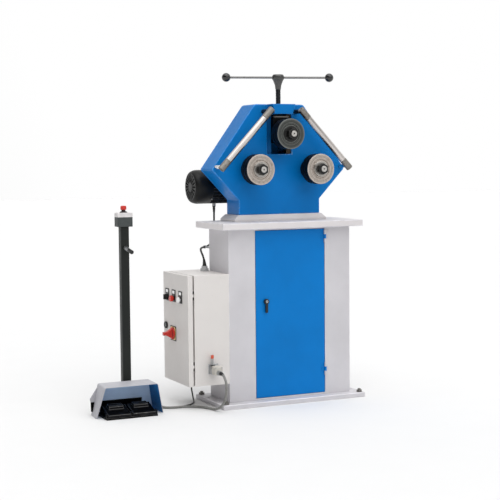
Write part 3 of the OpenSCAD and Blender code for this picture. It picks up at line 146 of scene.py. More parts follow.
LUG_REACH = 0.12
POST_X = -0.752
POST_Y = 0.052
POST_FRONT = 0.037
STOP_BOX_TOP = 0.874
STOP_LID_TOP = 0.894
STOP_CAP_LOW = 0.9059
STOP_STEM = 0.0095
STOP_NECK = 0.0130
GRIP_BREAK = -0.016

# Routes of the cables, repeated from the CAD model
PEDAL_CABLE = [
    (-0.395, -0.197, 0.176), (-0.395, -0.212, 0.176), (-0.395, -0.226, 0.172), (-0.395, -0.239, 0.163),
    (-0.394, -0.248, 0.151), (-0.393, -0.253, 0.136), (-0.392, -0.253, 0.118), (-0.391, -0.248, 0.098),
    (-0.390, -0.239, 0.078), (-0.390, -0.227, 0.059), (-0.391, -0.212, 0.042), (-0.393, -0.195, 0.028),
    (-0.396, -0.176, 0.017), (-0.400, -0.156, 0.010), (-0.404, -0.135, 0.007), (-0.410, -0.112, 0.006),
    (-0.418, -0.089, 0.006), (-0.430, -0.067, 0.006), (-0.446, -0.047, 0.006), (-0.467, -0.031, 0.006),
    (-0.491, -0.020, 0.006), (-0.516, -0.015, 0.006), (-0.540, -0.014, 0.006), (-0.570, -0.006, 0.006),
    (-0.592, 0.016, 0.006), (-0.600, 0.046, 0.006), (-0.600, 0.066, 0.006), (-0.606, 0.088, 0.006),
    (-0.622, 0.105, 0.006), (-0.645, 0.111, 0.006), (-0.668, 0.105, 0.006), (-0.684, 0.088, 0.007),
    (-0.690, 0.066, 0.008), (-0.690, 0.050, 0.008),
]
STOP_CABLE = [
    (-0.395, 0.150, 0.096), (-0.395, 0.150, 0.082), (-0.395, 0.149, 0.066), (-0.395, 0.146, 0.050),
    (-0.395, 0.139, 0.035), (-0.397, 0.128, 0.022), (-0.400, 0.114, 0.012), (-0.405, 0.098, 0.006),
    (-0.411, 0.081, 0.004), (-0.419, 0.064, 0.004), (-0.429, 0.048, 0.004), (-0.442, 0.033, 0.004),
    (-0.457, 0.020, 0.004), (-0.474, 0.010, 0.004), (-0.493, 0.004, 0.004), (-0.513, 0.001, 0.004),
    (-0.533, 0.001, 0.004), (-0.553, 0.006, 0.004), (-0.570, 0.018, 0.004), (-0.580, 0.034, 0.004),
    (-0.584, 0.052, 0.004), (-0.584, 0.068, 0.004), (-0.591, 0.094, 0.004), (-0.612, 0.118, 0.004),
    (-0.645, 0.127, 0.004), (-0.678, 0.118, 0.004), (-0.699, 0.094, 0.006), (-0.706, 0.068, 0.008),
    (-0.706, 0.050, 0.008),
]


def curve_points(p, first, steps):
    """Points of a smooth curve that leaves its first point towards the second and reaches its last from the third."""
    points = []
    for i in range(first, steps + 1):
        t = i / steps
        s = 1 - t
        points.append(tuple(s ** 3 * a + 3 * s * s * t * b + 3 * s * t * t * c + t ** 3 * d for a, b, c, d in zip(*p)))
    return points


MOTOR_EXIT = Vector((-0.200, 0.308, 0.9034))
CLIP = Vector((-0.307, 0.175, 0.716))
CLIP_HEIGHTS = (0.69, 0.74)
CLIP_HEADING = Vector((-0.771, -0.636, 0))
BOX_ENTRY = Vector((-0.344, 0.094, 0.634))
DOWN = Vector((0, 0, -1))
MOTOR_CABLE = [tuple(MOTOR_EXIT)]
MOTOR_CABLE += curve_points([MOTOR_EXIT + 0.008 * DOWN, MOTOR_EXIT + 0.120 * DOWN,
                             CLIP - 0.100 * CLIP_HEADING, CLIP], 0, 11)
MOTOR_CABLE += curve_points([CLIP, CLIP + 0.090 * CLIP_HEADING,
                             BOX_ENTRY - 0.060 * DOWN, BOX_ENTRY - 0.008 * DOWN], 1, 8)
MOTOR_CABLE += [tuple(BOX_ENTRY)]
PEDAL_CABLE_DIAMETER = 0.011
STOP_CABLE_DIAMETER = 0.007
MOTOR_CABLE_DIAMETER = 0.009


# Finishes
def srgb(r, g, b):
    """The linear colour of a display colour whose parts run from 0 to 255."""
    parts = [c / 255 for c in (r, g, b)]
    linear = [c / 12.92 if c <= 0.04045 else ((c + 0.055) / 1.055) ** 2.4 for c in parts]
    return (*linear, 1.0)


def shade(colour, factor):
    """The colour made lighter or darker."""
    return (*(min(1.0, c * factor) for c in colour[:3]), 1.0)


class Finish:
    """A material whose colour, roughness and bump come from textures in the piece's own metres."""

    def __init__(self, name, metallic=0.0, coat=0.0):
        self.material = bpy.data.materials.new(name)
        self.material.use_nodes = True
        self.tree = self.material.node_tree
        self.shader = self.tree.nodes["Principled BSDF"]
        self.shader.inputs["Metallic"].default_value = metallic
        self.shader.inputs["Coat Weight"].default_value = coat
        self.shader.inputs["Coat Roughness"].default_value = 0.12
        self.place = self.add("ShaderNodeTexCoord").outputs["Object"]

    def add(self, kind, settings=None, **inputs):
        node = self.tree.nodes.new(kind)
        for key, value in (settings or {}).items():
            setattr(node, key, value)
        for key, value in inputs.items():
            self.put(node.inputs[key.replace("_", " ")], value)
        return node

    def put(self, socket, value):
        if isinstance(value, bpy.types.NodeSocket):
            self.tree.links.new(value, socket)
        else:
            socket.default_value = value

    def noise(self, scale, detail=3.0, stretch=(1, 1, 1), roughness=0.55):
        where = self.add("ShaderNodeMapping", Vector=self.place, Scale=stretch).outputs["Vector"]
        return self.add("ShaderNodeTexNoise", Vector=where, Scale=scale, Detail=detail,
                        Roughness=roughness).outputs["Fac"]

    def radius(self, axis):
        """Distance from an axis that runs along Y through (x, z)."""
        offset = self.add("ShaderNodeVectorMath", {"operation": "SUBTRACT"})
        self.put(offset.inputs[0], self.place)
        self.put(offset.inputs[1], (axis[0], 0, axis[1]))
        flat = self.add("ShaderNodeVectorMath", {"operation": "MULTIPLY"})
        self.put(flat.inputs[0], offset.outputs["Vector"])
        self.put(flat.inputs[1], (1, 0, 1))
        length = self.add("ShaderNodeVectorMath", {"operation": "LENGTH"})
        self.put(length.inputs[0], flat.outputs["Vector"])
        return length.outputs["Value"]

    def rings(self, axis, scale):
        """Turning marks: noise that changes only with the distance from an axis."""
        return self.add("ShaderNodeTexNoise", {"noise_dimensions": "1D"}, W=self.radius(axis), Scale=scale,
                        Detail=3.0).outputs["Fac"]

    def span(self, value, low, high, to_low=0.0, to_high=1.0):
        return self.add("ShaderNodeMapRange", Value=value, From_Min=low, From_Max=high, To_Min=to_low,
                        To_Max=to_high).outputs["Result"]

    def ramp(self, value, *stops):
        node = self.add("ShaderNodeValToRGB", Fac=value)
        elements = node.color_ramp.elements
        while len(elements) < len(stops):
            elements.new(0.5)
        for element, (position, colour) in zip(elements, stops):
            element.position = position
            element.color = colour
        return node.outputs["Color"]

    def mix(self, value, a, b):
        return self.add("ShaderNodeMixRGB", Fac=value, Color1=a, Color2=b).outputs["Color"]

    def colour(self, value):
        self.put(self.shader.inputs["Base Color"], value)

    def roughness(self, value, low, high):
        self.put(self.shader.inputs["Roughness"], self.span(value, 0.3, 0.7, low, high))

    def bump(self, height, strength, distance=0.0005):
        node = self.add("ShaderNodeBump", Height=height, Strength=strength, Distance=distance)
        self.put(self.shader.inputs["Normal"], node.outputs["Normal"])


def paint(name, colour, rough=0.40, peel=0.10, stain=0.06, gloss=0.4):
    """Sprayed paint: faint orange peel, cloudy tone and a few dust specks."""
    f = Finish(name)
    f.shader.inputs["Specular IOR Level"].default_value = gloss
    tone = f.ramp(f.noise(4.5, 4), (0.32, shade(colour, 1 - stain)), (0.68, shade(colour, 1 + stain)))
    specks = f.span(f.noise(330, 2), 0.70, 0.76)
    f.colour(f.mix(specks, tone, shade(colour, 0.82)))
    f.roughness(f.noise(55, 4), rough - 0.06, rough + 0.08)
    f.bump(f.noise(520, 2), peel)
    return f.material


def lit_and_rubbed_edge(name, colour, bare, amount=0.35, rough=0.36):
    """The rounded edges of a painted piece: lighter all along as a painted highlight, with thinner paint scuffed
    through in places.
    """
    f = Finish(name)
    wear = f.span(f.noise(60, 5, roughness=0.7), 0.72 - amount * 0.5, 0.80 - amount * 0.3)
    # Painted highlight: the edge tone is lighter than the paint everywhere, from a little to about a third lighter
    tone = f.ramp(f.noise(18, 3), (0.35, shade(colour, 1.08)), (0.65, shade(colour, 1.35)))
    f.colour(f.mix(wear, tone, bare))
    f.roughness(f.noise(140, 3), rough - 0.06, rough + 0.12)
    f.bump(f.noise(700, 2), 0.12)
    return f.material


def steel(name, colour, rough=0.32, grain=(1, 1, 1), scale=120, spots=0.25, spot_colour=None):
    """Bare steel with a grain along one direction and darker stained spots."""
    f = Finish(name, metallic=1.0)
    lines = f.noise(scale, 5, grain)
    tone = f.ramp(lines, (0.3, shade(colour, 0.78)), (0.7, shade(colour, 1.15)))
    stains = f.span(f.noise(48, 6, roughness=0.72), 0.56, 0.80, 0.0, spots)
    f.colour(f.mix(stains, tone, spot_colour or shade(colour, 0.45)))
    f.roughness(lines, rough - 0.08, rough + 0.12)
    f.bump(lines, 0.10, 0.0003)
    return f.material


def chromed(name, colour, lean):
    """Ground and plated steel with faint streaks along an axis that leans from the vertical towards +X."""
    f = Finish(name, metallic=1.0)
    along = f.add("ShaderNodeMapping", {"vector_type": "TEXTURE"}, Vector=f.place, Rotation=(0, math.radians(lean), 0),
                  Scale=(1, 1, 24)).outputs["Vector"]
    streaks = f.add("ShaderNodeTexNoise", Vector=along, Scale=95, Detail=2.0).outputs["Fac"]
    f.colour(f.ramp(streaks, (0.34, shade(colour, 0.80)), (0.62, shade(colour, 1.06))))
    f.roughness(streaks, 0.26, 0.34)
    f.bump(streaks, 0.05, 0.0002)
    return f.material


def turned(name, axis, colour, rough=0.38, marks=260, spots=0.4):
    """A face turned on a lathe: rings round the axis, with stains over them."""
    f = Finish(name, metallic=1.0)
    rings = f.rings(axis, marks)
    tone = f.ramp(rings, (0.3, shade(colour, 0.72)), (0.7, shade(colour, 1.18)))
    stains = f.span(f.noise(62, 6, roughness=0.72), 0.50, 0.72, 0.0, spots)
    f.colour(f.mix(stains, tone, shade(colour, 0.5)))
    f.roughness(f.noise(90, 4), rough - 0.08, rough + 0.14)
    f.bump(rings, 0.22, 0.0004)
    return f.material


def plastic(name, colour, rough=0.42, grain=900, depth=0.10, coat=0.0):
    """Moulded plastic with a fine eroded grain."""
    f = Finish(name, coat=coat)
    f.colour(f.ramp(f.noise(40, 4), (0.3, shade(colour, 0.88)), (0.7, shade(colour, 1.14))))
    f.roughness(f.noise(160, 4), rough - 0.07, rough + 0.10)
    f.bump(f.noise(grain, 2), depth, 0.0003)
    return f.material


def sheath(name, colour):
    """The soft sheath of a cable, dusty in places."""
    f = Finish(name)
    dust = f.span(f.noise(35, 5, roughness=0.7), 0.52, 0.75, 0.0, 0.35)
    f.colour(f.mix(dust, f.ramp(f.noise(120, 3), (0.3, shade(colour, 0.85)), (0.7, shade(colour, 1.15))),
                   srgb(150, 148, 142)))
    f.roughness(f.noise(220, 3), 0.48, 0.66)
    f.bump(f.noise(900, 2), 0.12, 0.0002)
    return f.material


GREY = srgb(200, 198, 202)
WARM_GREY = srgb(214, 210, 207)
BLUE = srgb(2, 116, 193)
BLACK = srgb(14, 15, 16)
RED = srgb(198, 34, 16)

stand_paint = paint("stand_paint", GREY, rough=0.44)
# The table and riser get the stand's grey made lighter, as painted light
table_grey_painted_light = paint("table_grey_painted_light", srgb(214, 210, 211), rough=0.44)
# The edge finishes carry a painted highlight along the rounded edges as well as wear
stand_edge = lit_and_rubbed_edge("stand_edge", GREY, srgb(225, 224, 222), amount=0.2)
blue_paint = paint("blue_paint", BLUE, rough=0.36, peel=0.14, stain=0.07, gloss=0.12)
blue_edge = lit_and_rubbed_edge("blue_edge", BLUE, srgb(120, 165, 205), amount=0.35)
# The left gib: the head's blue darkened as painted shade for its recess
gib_blue_painted_shade = paint("gib_blue_painted_shade", srgb(4, 88, 150), rough=0.5, stain=0.12, gloss=0.15)
box_paint = paint("box_paint", WARM_GREY, rough=0.5, peel=0.22, stain=0.035)
box_edge = lit_and_rubbed_edge("box_edge", WARM_GREY, srgb(228, 226, 222), amount=0.15)
black_paint = paint("black_paint", srgb(15, 16, 16), rough=0.42, peel=0.16, stain=0.14, gloss=0.24)
pedal_black = paint("pedal_black", srgb(3, 3, 4), rough=0.42, peel=0.25, stain=0.16, gloss=0.05)
black_edge = lit_and_rubbed_edge("black_edge", srgb(38, 39, 40), srgb(120, 118, 114), amount=0.4)
post_paint = paint("post_paint", srgb(28, 31, 29), rough=0.38, peel=0.2, stain=0.12, gloss=0.22)
post_edge = lit_and_rubbed_edge("post_edge", srgb(38, 41, 40), srgb(90, 90, 88), amount=0.25, rough=0.5)
pedal_edge = lit_and_rubbed_edge("pedal_edge", srgb(20, 20, 21), srgb(96, 95, 92), amount=0.30, rough=0.3)
hood_paint = paint("hood_paint", srgb(174, 174, 180), rough=0.42, stain=0.07)
# The hood's inside: one blue paint, as a painted-light copy for the back wall and roof and a painted-shade copy for the
# sides
hood_blue_painted_light = paint("hood_blue_painted_light", srgb(188, 212, 240), rough=0.5, peel=0.2, stain=0.12, gloss=0.15)
hood_blue_painted_shade = paint("hood_blue_painted_shade", srgb(30, 100, 160), rough=0.5, peel=0.2, stain=0.14, gloss=0.15)
dark_steel = steel("dark_steel", srgb(58, 58, 58), rough=0.42)
black_steel = steel("black_steel", srgb(30, 30, 31), rough=0.45)
sleeve_steel = steel("sleeve_steel", srgb(142, 138, 132), rough=0.42, spots=0.5, spot_colour=srgb(84, 72, 60))
bolt_steel = steel("bolt_steel", srgb(120, 118, 114), rough=0.4, spots=0.6, spot_colour=srgb(70, 58, 46))
bright_steel = steel("bright_steel", srgb(120, 118, 115), rough=0.34, scale=220, spots=0.2)
hub_steel = steel("hub_steel", srgb(94, 94, 93), rough=0.38, scale=110, spots=0.6, spot_colour=srgb(40, 40, 40))
gib_steel = steel("gib_steel", srgb(74, 66, 58), rough=0.46, spots=0.5, spot_colour=srgb(52, 36, 24))
bar_steel = steel("bar_steel", srgb(128, 127, 126), rough=0.34, grain=(0.15, 1, 1), scale=200)
chrome = steel("chrome", srgb(236, 235, 234), rough=0.20, scale=60, spots=0.10)
washer_steel = steel("washer_steel", srgb(176, 172, 167), rough=0.32, scale=180, spots=0.45)
zinc = steel("zinc", srgb(176, 178, 180), rough=0.38, scale=90, spots=0.2)
bronze = steel("bronze", srgb(170, 122, 60), rough=0.34, spots=0.3)
gear_steel = steel("gear_steel", srgb(96, 96, 98), rough=0.36)
cast_grey = paint("cast_grey", srgb(196, 192, 184), rough=0.40, peel=0.3, stain=0.10)
black_plastic = plastic("black_plastic", BLACK, rough=0.40)
gloss_black = plastic("gloss_black", srgb(14, 14, 15), rough=0.14, depth=0.03, coat=0.6)
grey_plastic = plastic("grey_plastic", srgb(58, 63, 63), rough=0.55)
pale_plastic = plastic("pale_plastic", srgb(212, 209, 209), rough=0.45)
white_plastic = plastic("white_plastic", srgb(250, 250, 248), rough=0.34, coat=0.2)
red_plastic = plastic("red_plastic", RED, rough=0.34, coat=0.25)
lever_red = plastic("lever_red", srgb(196, 74, 44), rough=0.36, coat=0.2)
yellow_plastic = plastic("yellow_plastic", srgb(230, 198, 138), rough=0.42)
seal_rubber = plastic("seal_rubber", srgb(28, 29, 30), rough=0.62, grain=1400, depth=0.2)
gland_plastic = plastic("gland_plastic", srgb(178, 179, 180), rough=0.46)
relay_plastic = plastic("relay_plastic", srgb(60, 62, 64), rough=0.5)
grey_sheath = sheath("grey_sheath", srgb(126, 126, 123))
dark_sheath = sheath("dark_sheath", srgb(36, 37, 38))
floor_finish = paint("floor_finish", srgb(230, 230, 230), rough=0.80, peel=0.05, stain=0.004, gloss=0.05)


# Pieces
def new_piece(name, mesh, finishes, body):
    """A mesh as an object that moves with a CAD body."""
    for finish in finishes:
        mesh.materials.append(finish)
    piece = bpy.data.objects.new(name, mesh)
    bpy.context.scene.collection.objects.link(piece)
    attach(piece, body)
    return piece


def round_edges(piece, width, finish_number=-1, steps=2, angle=35):
    """Rounded edges, with normals that keep the large faces flat."""
    bevel = piece.modifiers.new("rounded_edges", "BEVEL")
    bevel.width = width
    bevel.segments = steps
    bevel.limit_method = "ANGLE"
    bevel.angle_limit = math.radians(angle)
    bevel.use_clamp_overlap = False
    bevel.material = finish_number
    normals = piece.modifiers.new("flat_faces", "WEIGHTED_NORMAL")
    normals.keep_sharp = True
    return bevel


def dress(node, finishes, edge=0.0010, edge_wear_and_highlight=None, pick=None, steps=2, angle=35, cuts=(), share=None):
    """A copy of a CAD node in its place, with rounded edges and its own finishes.

    pick(centre, normal) gives the number of a face's finish. The edge finish, if given, is that of the rounded edges,
    which carry a painted highlight as well as wear. cuts are planes, each a point and a normal, that split faces
    between finishes or through holes; an axis after them limits a cut to the faces across that axis. share(point) gives
    the share of the edge radius that the edge there gets.
    """
    source = frame["nodes"][node]
    shape = bmesh.new()
    shape.from_mesh(source.data)
    bmesh.ops.remove_doubles(shape, verts=shape.verts, dist=1e-6)
    for point, across, *facing in cuts:
        faces = [face for face in shape.faces if not facing or abs(face.normal.dot(Vector(facing[0]))) > 0.9]
        parts = list(dict.fromkeys(part for face in faces for part in (face, *face.edges, *face.verts)))
        cut = bmesh.ops.bisect_plane(shape, geom=parts, plane_co=point, plane_no=across)
        for item in cut["geom_cut"]:
            if isinstance(item, bmesh.types.BMEdge):
                item.seam = True
    for face in shape.faces:
        face.smooth = True
        face.material_index = pick(face.calc_center_median(), face.normal) if pick else 0
    bmesh.ops.dissolve_limit(shape, angle_limit=math.radians(0.4), verts=shape.verts, edges=shape.edges,
                             use_dissolve_boundaries=False, delimit={"MATERIAL", "SEAM"})
    if share:
        weight = shape.edges.layers.float.new("bevel_weight_edge")
        for line in shape.edges:
            if line.calc_face_angle(0) > math.radians(angle):
                line[weight] = share((line.verts[0].co + line.verts[1].co) / 2)
    mesh = bpy.data.meshes.new(node + "_mesh")
    shape.to_mesh(mesh)
    shape.free()
    mesh.set_sharp_from_angle(angle=math.radians(angle))
    piece = new_piece("dressed_" + node, mesh, list(finishes) + ([edge_wear_and_highlight] if edge_wear_and_highlight else []), source["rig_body"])
    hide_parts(node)
    if edge:
        bevel = round_edges(piece, edge, len(finishes) if edge_wear_and_highlight else -1, steps, angle)
        if share:
            bevel.limit_method = "WEIGHT"
    return piece


def turn(axis):
    """The rotation that takes +Z to the axis."""
    return Vector((0, 0, 1)).rotation_difference(Vector(axis)).to_matrix().to_4x4()


def lathe(shape, profile, at, axis, sides=32, flats=0):
    """Adds a solid of revolution to a bmesh. profile is (radius, height) from the base up; flats makes it a prism."""
    count = flats or sides
    place = Matrix.Translation(at) @ turn(axis)
    loops = []
    for radius, height in profile:
        loops.append([shape.verts.new(place @ Vector((radius * math.cos(math.tau * k / count),
                                                      radius * math.sin(math.tau * k / count), height)))
                      for k in range(count)])
    for low, high in zip(loops, loops[1:]):
        for k in range(count):
            shape.faces.new((low[k], low[(k + 1) % count], high[(k + 1) % count], high[k]))
    shape.faces.new(list(reversed(loops[0])))
    shape.faces.new(loops[-1])


def slab(shape, low, high, number=0):
    """Adds a box to a bmesh."""
    corners = [shape.verts.new((x, y, z))
               for z in (low[2], high[2]) for y in (low[1], high[1]) for x in (low[0], high[0])]
    for face in ((0, 2, 3, 1), (4, 5, 7, 6), (0, 1, 5, 4), (2, 6, 7, 3), (0, 4, 6, 2), (1, 3, 7, 5)):
        shape.faces.new([corners[i] for i in face]).material_index = number


def finish_piece(name, shape, finishes, body, edge=0.0004, angle=35):
    """Turns a bmesh into a smooth-shaded piece with softened edges."""
    bmesh.ops.recalc_face_normals(shape, faces=shape.faces)
    for face in shape.faces:
        face.smooth = True
    mesh = bpy.data.meshes.new(name + "_mesh")
    shape.to_mesh(mesh)
    shape.free()
    mesh.set_sharp_from_angle(angle=math.radians(angle))
    piece = new_piece(name, mesh, finishes, body)
    if edge:
        round_edges(piece, edge, angle=angle)
    return piece


def socket_screws(name, places, axis, radius, body, finish):
    """Socket-head screws whose heads stand on a face, each with a round socket."""
    shape = bmesh.new()
    height = 0.9 * radius
    for at in places:
        lathe(shape, [(0.97 * radius, 0), (radius, 0.1 * radius), (radius, 0.8 * height), (0.9 * radius, height),
                      (0.55 * radius, height), (0.5 * radius, 0.45 * height)], at, axis, 20)
    return finish_piece(name, shape, [finish], body, edge=0)


def strain_relief(name, route, length, radii, finish):
    """A tapered, ribbed sleeve over the first stretch of a cable."""
    around, rows = 24, 26
    points = [Vector(p) for p in route]
    shape = bmesh.new()
    loops = []
    for i in range(rows + 1):
        left = length * i / rows
        k = 0
        while k < len(points) - 2 and left > (points[k + 1] - points[k]).length:
            left -= (points[k + 1] - points[k]).length
            k += 1
        heading = (points[k + 1] - points[k]).normalized()
        at = points[k] + heading * left
        rib = 0.0005 if i % 4 in (0, 1) and 2 < i < rows - 2 else 0.0
        r = radii[0] + (radii[1] - radii[0]) * i / rows - rib
        place = turn(heading)
        loops.append([shape.verts.new(at + place @ Vector((r * math.cos(math.tau * j / around),
                                                           r * math.sin(math.tau * j / around), 0)))
                      for j in range(around)])
    for low, high in zip(loops, loops[1:]):
        for j in range(around):
            shape.faces.new((low[j], low[(j + 1) % around], high[(j + 1) % around], high[j]))
    shape.faces.new(list(reversed(loops[0])))
    shape.faces.new(loops[-1])
    return finish_piece(name, shape, [finish], "frame", edge=0, angle=50)


def framed_plate(name, centre, half, hole, depth, corner, finish, body):
    """A square plate with rounded corners and a round hole, facing -X."""
    around = 96
    shape = bmesh.new()
    loops = []
    for x, inner in ((0, False), (-depth, False), (-depth, True), (0, True)):
        loop = []
        for k in range(around):
            a = math.tau * (k + 0.5) / around
            y, z = math.cos(a), math.sin(a)
            if inner:
                y, z = hole * y, hole * z
            else:
                n = 2 / (corner / half)
                scale = half / (abs(y) ** n + abs(z) ** n) ** (1 / n)
                y, z = scale * y, scale * z
            loop.append(shape.verts.new((centre[0] + x, centre[1] + y, centre[2] + z)))
        loops.append(loop)
    for low, high in zip(loops, loops[1:] + loops[:1]):
        for k in range(around):
            shape.faces.new((low[k], low[(k + 1) % around], high[(k + 1) % around], high[k]))
    return finish_piece(name, shape, [finish], body, edge=0.0003)


def cable(name, route, diameter, finish, node):
    """A cable as a smooth curve through its route, in place of its CAD node."""
    curve = bpy.data.curves.new(name, "CURVE")
    curve.dimensions = "3D"
    curve.bevel_depth = diameter / 2
    curve.bevel_resolution = 5
    curve.resolution_u = 6
    curve.use_fill_caps = True
    spline = curve.splines.new("BEZIER")
    spline.bezier_points.add(len(route) - 1)
    for i, (point, at) in enumerate(zip(spline.bezier_points, route)):
        before = Vector(route[max(i - 1, 0)])
        after = Vector(route[min(i + 1, len(route) - 1)])
        tangent = (after - before).normalized()
        point.co = at
        point.handle_left = Vector(at) - tangent * (Vector(at) - before).length / 3
        point.handle_right = Vector(at) + tangent * (after - Vector(at)).length / 3
        point.handle_left_type = point.handle_right_type = "FREE"
    curve.materials.append(finish)
    piece = bpy.data.objects.new(name, curve)
    bpy.context.scene.collection.objects.link(piece)
    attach(piece, "frame")
    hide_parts(node)
    return piece


# Camera at the photograph's viewing angle
def add_camera(position, yaw, pitch, roll, lens):
    yaw, pitch, roll = (math.radians(a) for a in (yaw, pitch, roll))
    forward = Vector((math.sin(yaw) * math.cos(pitch), math.cos(yaw) * math.cos(pitch), math.sin(pitch)))
    right = Vector((math.cos(yaw), -math.sin(yaw), 0))
    up = right.cross(forward)
    across = math.cos(roll) * right + math.sin(roll) * up
    upward = math.cos(roll) * up - math.sin(roll) * right
    data = bpy.data.cameras.new("camera")
    data.lens = lens
    data.sensor_width = CAMERA_SENSOR
    camera = bpy.data.objects.new("camera", data)
    camera.matrix_world = Matrix.Translation(position) @ Matrix((across, upward, -forward)).transposed().to_4x4()
    bpy.context.scene.collection.objects.link(camera)
    bpy.context.scene.camera = camera


add_camera(CAMERA_PLACE, *CAMERA_TURN, CAMERA_LENS)

# Cables
pedal_cable = cable("pedal_cable_sheath", PEDAL_CABLE, PEDAL_CABLE_DIAMETER, grey_sheath, "pedal_cable")
stop_cable = cable("stop_cable_sheath", STOP_CABLE, STOP_CABLE_DIAMETER, dark_sheath, "stop_cable")
cable("motor_cable_sheath", MOTOR_CABLE, MOTOR_CABLE_DIAMETER, dark_sheath, "motor_cable")

# Stand
def base_edge(point):
    """Full radius along the outline, little round the holes."""
    in_hole = abs(abs(point.x) - BASE_HOLES) < 0.012 and abs(point.y) < BASE_DEPTH / 2 - 0.008
    return 0.2 if in_hole else 1.0


dress("base_plate", [stand_paint], edge=0.0035, edge_wear_and_highlight=stand_edge, steps=3, share=base_edge,
      cuts=[((x, 0, 0), (1, 0, 0), (0, 0, 1)) for x in (-BASE_HOLES, BASE_HOLES)])
dress("table_top", [table_grey_painted_light], edge=0.0035, edge_wear_and_highlight=stand_edge, steps=3)
dress("stand_body", [stand_paint], edge=0.0018, edge_wear_and_highlight=stand_edge)
dress("riser_plate", [table_grey_painted_light], edge=0.0015, edge_wear_and_highlight=stand_edge)
dress("levelling_bolts", [bolt_steel], edge=0.0008)


def door_edge(point):
    """Full radius along the outline, none at the hinges and round the handle."""
    at_hinge = point.x > DOOR_LEAVES_X and any(low < point.z < high for low, high in DOOR_LEAVES)
    at_handle = math.hypot(point.x - DOOR_HANDLE[0], point.z - DOOR_HANDLE[1]) < HANDLE_HOLE
    return 0.0 if at_hinge or at_handle else 1.0


dress("stand_door", [blue_paint], edge=0.0015, edge_wear_and_highlight=blue_edge, share=door_edge)
dress("stand_door_handle", [black_plastic], edge=0.0025, steps=3, share=lambda p: 1.0 if p.y < STAND_FRONT else 0.0)
barrel = bmesh.new()
lathe(barrel, [(0.0062, 0.0001), (0.0062, 0.0010), (0.0054, 0.0014), (0.0046, 0.0014), (0.0042, 0.0006)],
      (DOOR_HANDLE[0], STAND_FRONT - 0.0140, DOOR_HANDLE[1]), (0, -1, 0), 28)
# A black bar in the barrel's dish is painted shade for the key slot
slab(barrel, (DOOR_HANDLE[0] - 0.0006, STAND_FRONT - 0.0152, DOOR_HANDLE[1] - 0.0034),
     (DOOR_HANDLE[0] + 0.0006, STAND_FRONT - 0.0143, DOOR_HANDLE[1] + 0.0034), 1)
finish_piece("lock_barrel", barrel, [zinc, black_steel], frame["nodes"]["stand_door_handle"]["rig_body"],
             edge=0)
dress("door_hinges", [black_steel, stand_paint], edge=0.0005, pick=lambda c, n: 1 if c.x > 0 else 0)


# Head
def head_slot(centre, normal):
    """Bare metal inside the bores, paint elsewhere."""
    for x, z in list(ROLL_AXES.values())[:2] + [(0, PINION_Z)]:
        if math.hypot(centre.x - x, centre.z - z) < BORE_RADIUS and abs(normal.y) < 0.5:
            return 1
    return 0


head_cuts = [((x, 0, 0), (1, 0, 0), (0, 1, 0)) for x in HEAD_HOLES]


def head_edge(point):
    """Full radius, but little round the guide posts, which are near the rim, and in the bores."""
    near = any(math.hypot(abs(point.x) - x, point.z - z) < r for x, z, r in POST_PLACES + BORES)
    return 0.15 if near else 1.0


dress("head_housing", [blue_paint, dark_steel], edge=0.0045, edge_wear_and_highlight=blue_edge, steps=3, pick=head_slot, cuts=head_cuts,
      share=head_edge)
dress("head_rear_cover", [blue_paint], edge=0.0025, edge_wear_and_highlight=blue_edge, cuts=[((0, 0, 0), (1, 0, 0), (0, 1, 0))])
dress("head_bearings", [dark_steel], edge=0.0008)
# The left gib is a darker blue as painted shade; the right one is bare steel
dress("slide_gibs", [gib_blue_painted_shade, gib_steel], edge=0.0008, pick=lambda c, n: 1 if c.x > 0 else 0)
dress("screw_bridge", [blue_paint, bronze], edge=0.0016, edge_wear_and_highlight=blue_edge,
      pick=lambda c, n: 1 if math.hypot(c.x, c.y - SCREW_Y) < NUT_BUSH_RADIUS - 0.0005 else 0)
# The lower posts are chrome; the upper ones get dark steel, which stands for the shade they are in
dress("guide_posts", [chrome, dark_steel], edge=0.0006, pick=lambda c, n: 1 if c.z > GUIDE_SPLIT else 0)
dress("guide_rods", [sleeve_steel], edge=0.0012)
for side, lean in (("left", GUIDE_LEAN), ("right", -GUIDE_LEAN)):
    dress(f"{side}_guide_roller", [chromed(f"{side}_guide_chrome", srgb(204, 198, 194), lean)], edge=0.0012)


def roll_face(side, colour, spots, spot_colour, contrast, bright):
    """The turned front face of a roll: rings, rust spots, a lighter inner ring, and a band lighter at the outer rim as
    a painted highlight.
    """
    f = Finish(f"{side}_roll_face", metallic=1.0)
    radius = f.radius(ROLL_AXES[side])
    rings = f.rings(ROLL_AXES[side], 150)
    tone = f.ramp(rings, (0.36, shade(colour, 1 - contrast)), (0.64, shade(colour, 1 + contrast)))
    stains = f.span(f.noise(95, 6, roughness=0.75), 0.50, 0.70, 0.0, spots)
    stained = f.mix(stains, tone, spot_colour)
    dull, lightened = (0, 0, 0, 1), (0.6, 0.6, 0.6, 1)
    # Painted highlight: the outermost band of the face is lightened as a bright rim; an inner ring is lightened as well
    inner_ring_and_rim_highlight = f.ramp(f.span(radius, 0.0, ROLL_RADIUS),
                          (0.52, dull), (0.56, lightened), (0.61, dull), (0.91, dull), (0.96, lightened))
    f.colour(f.mix(inner_ring_and_rim_highlight, stained, shade(colour, bright)))
    f.roughness(f.noise(120, 4), 0.34, 0.56)
    f.bump(rings, 0.30, 0.0004)
    return f.material


def dress_roll(side, face, rim, washer):
    """A roll: turned front face with its ring groove, dark grooved rim, washer and dark nut."""
    axis = ROLL_AXES[side]

    def part(centre, normal):
        if centre.y < WASHER_FRONT - HAIR:
            return 3
        if centre.y < ROLL_FRONT - HAIR:
            return 2
        in_face = normal.y < -0.9 and centre.y < ROLL_FRONT + 0.001
        in_groove = math.hypot(centre.x - axis[0], centre.z - axis[1]) < GROOVE_RADIUS and centre.y < ROLL_FRONT + 0.010
        return 0 if in_face or in_groove else 1

    dress(f"{side}_roll", [face, rim, washer, dark_steel], edge=0.0014, pick=part)


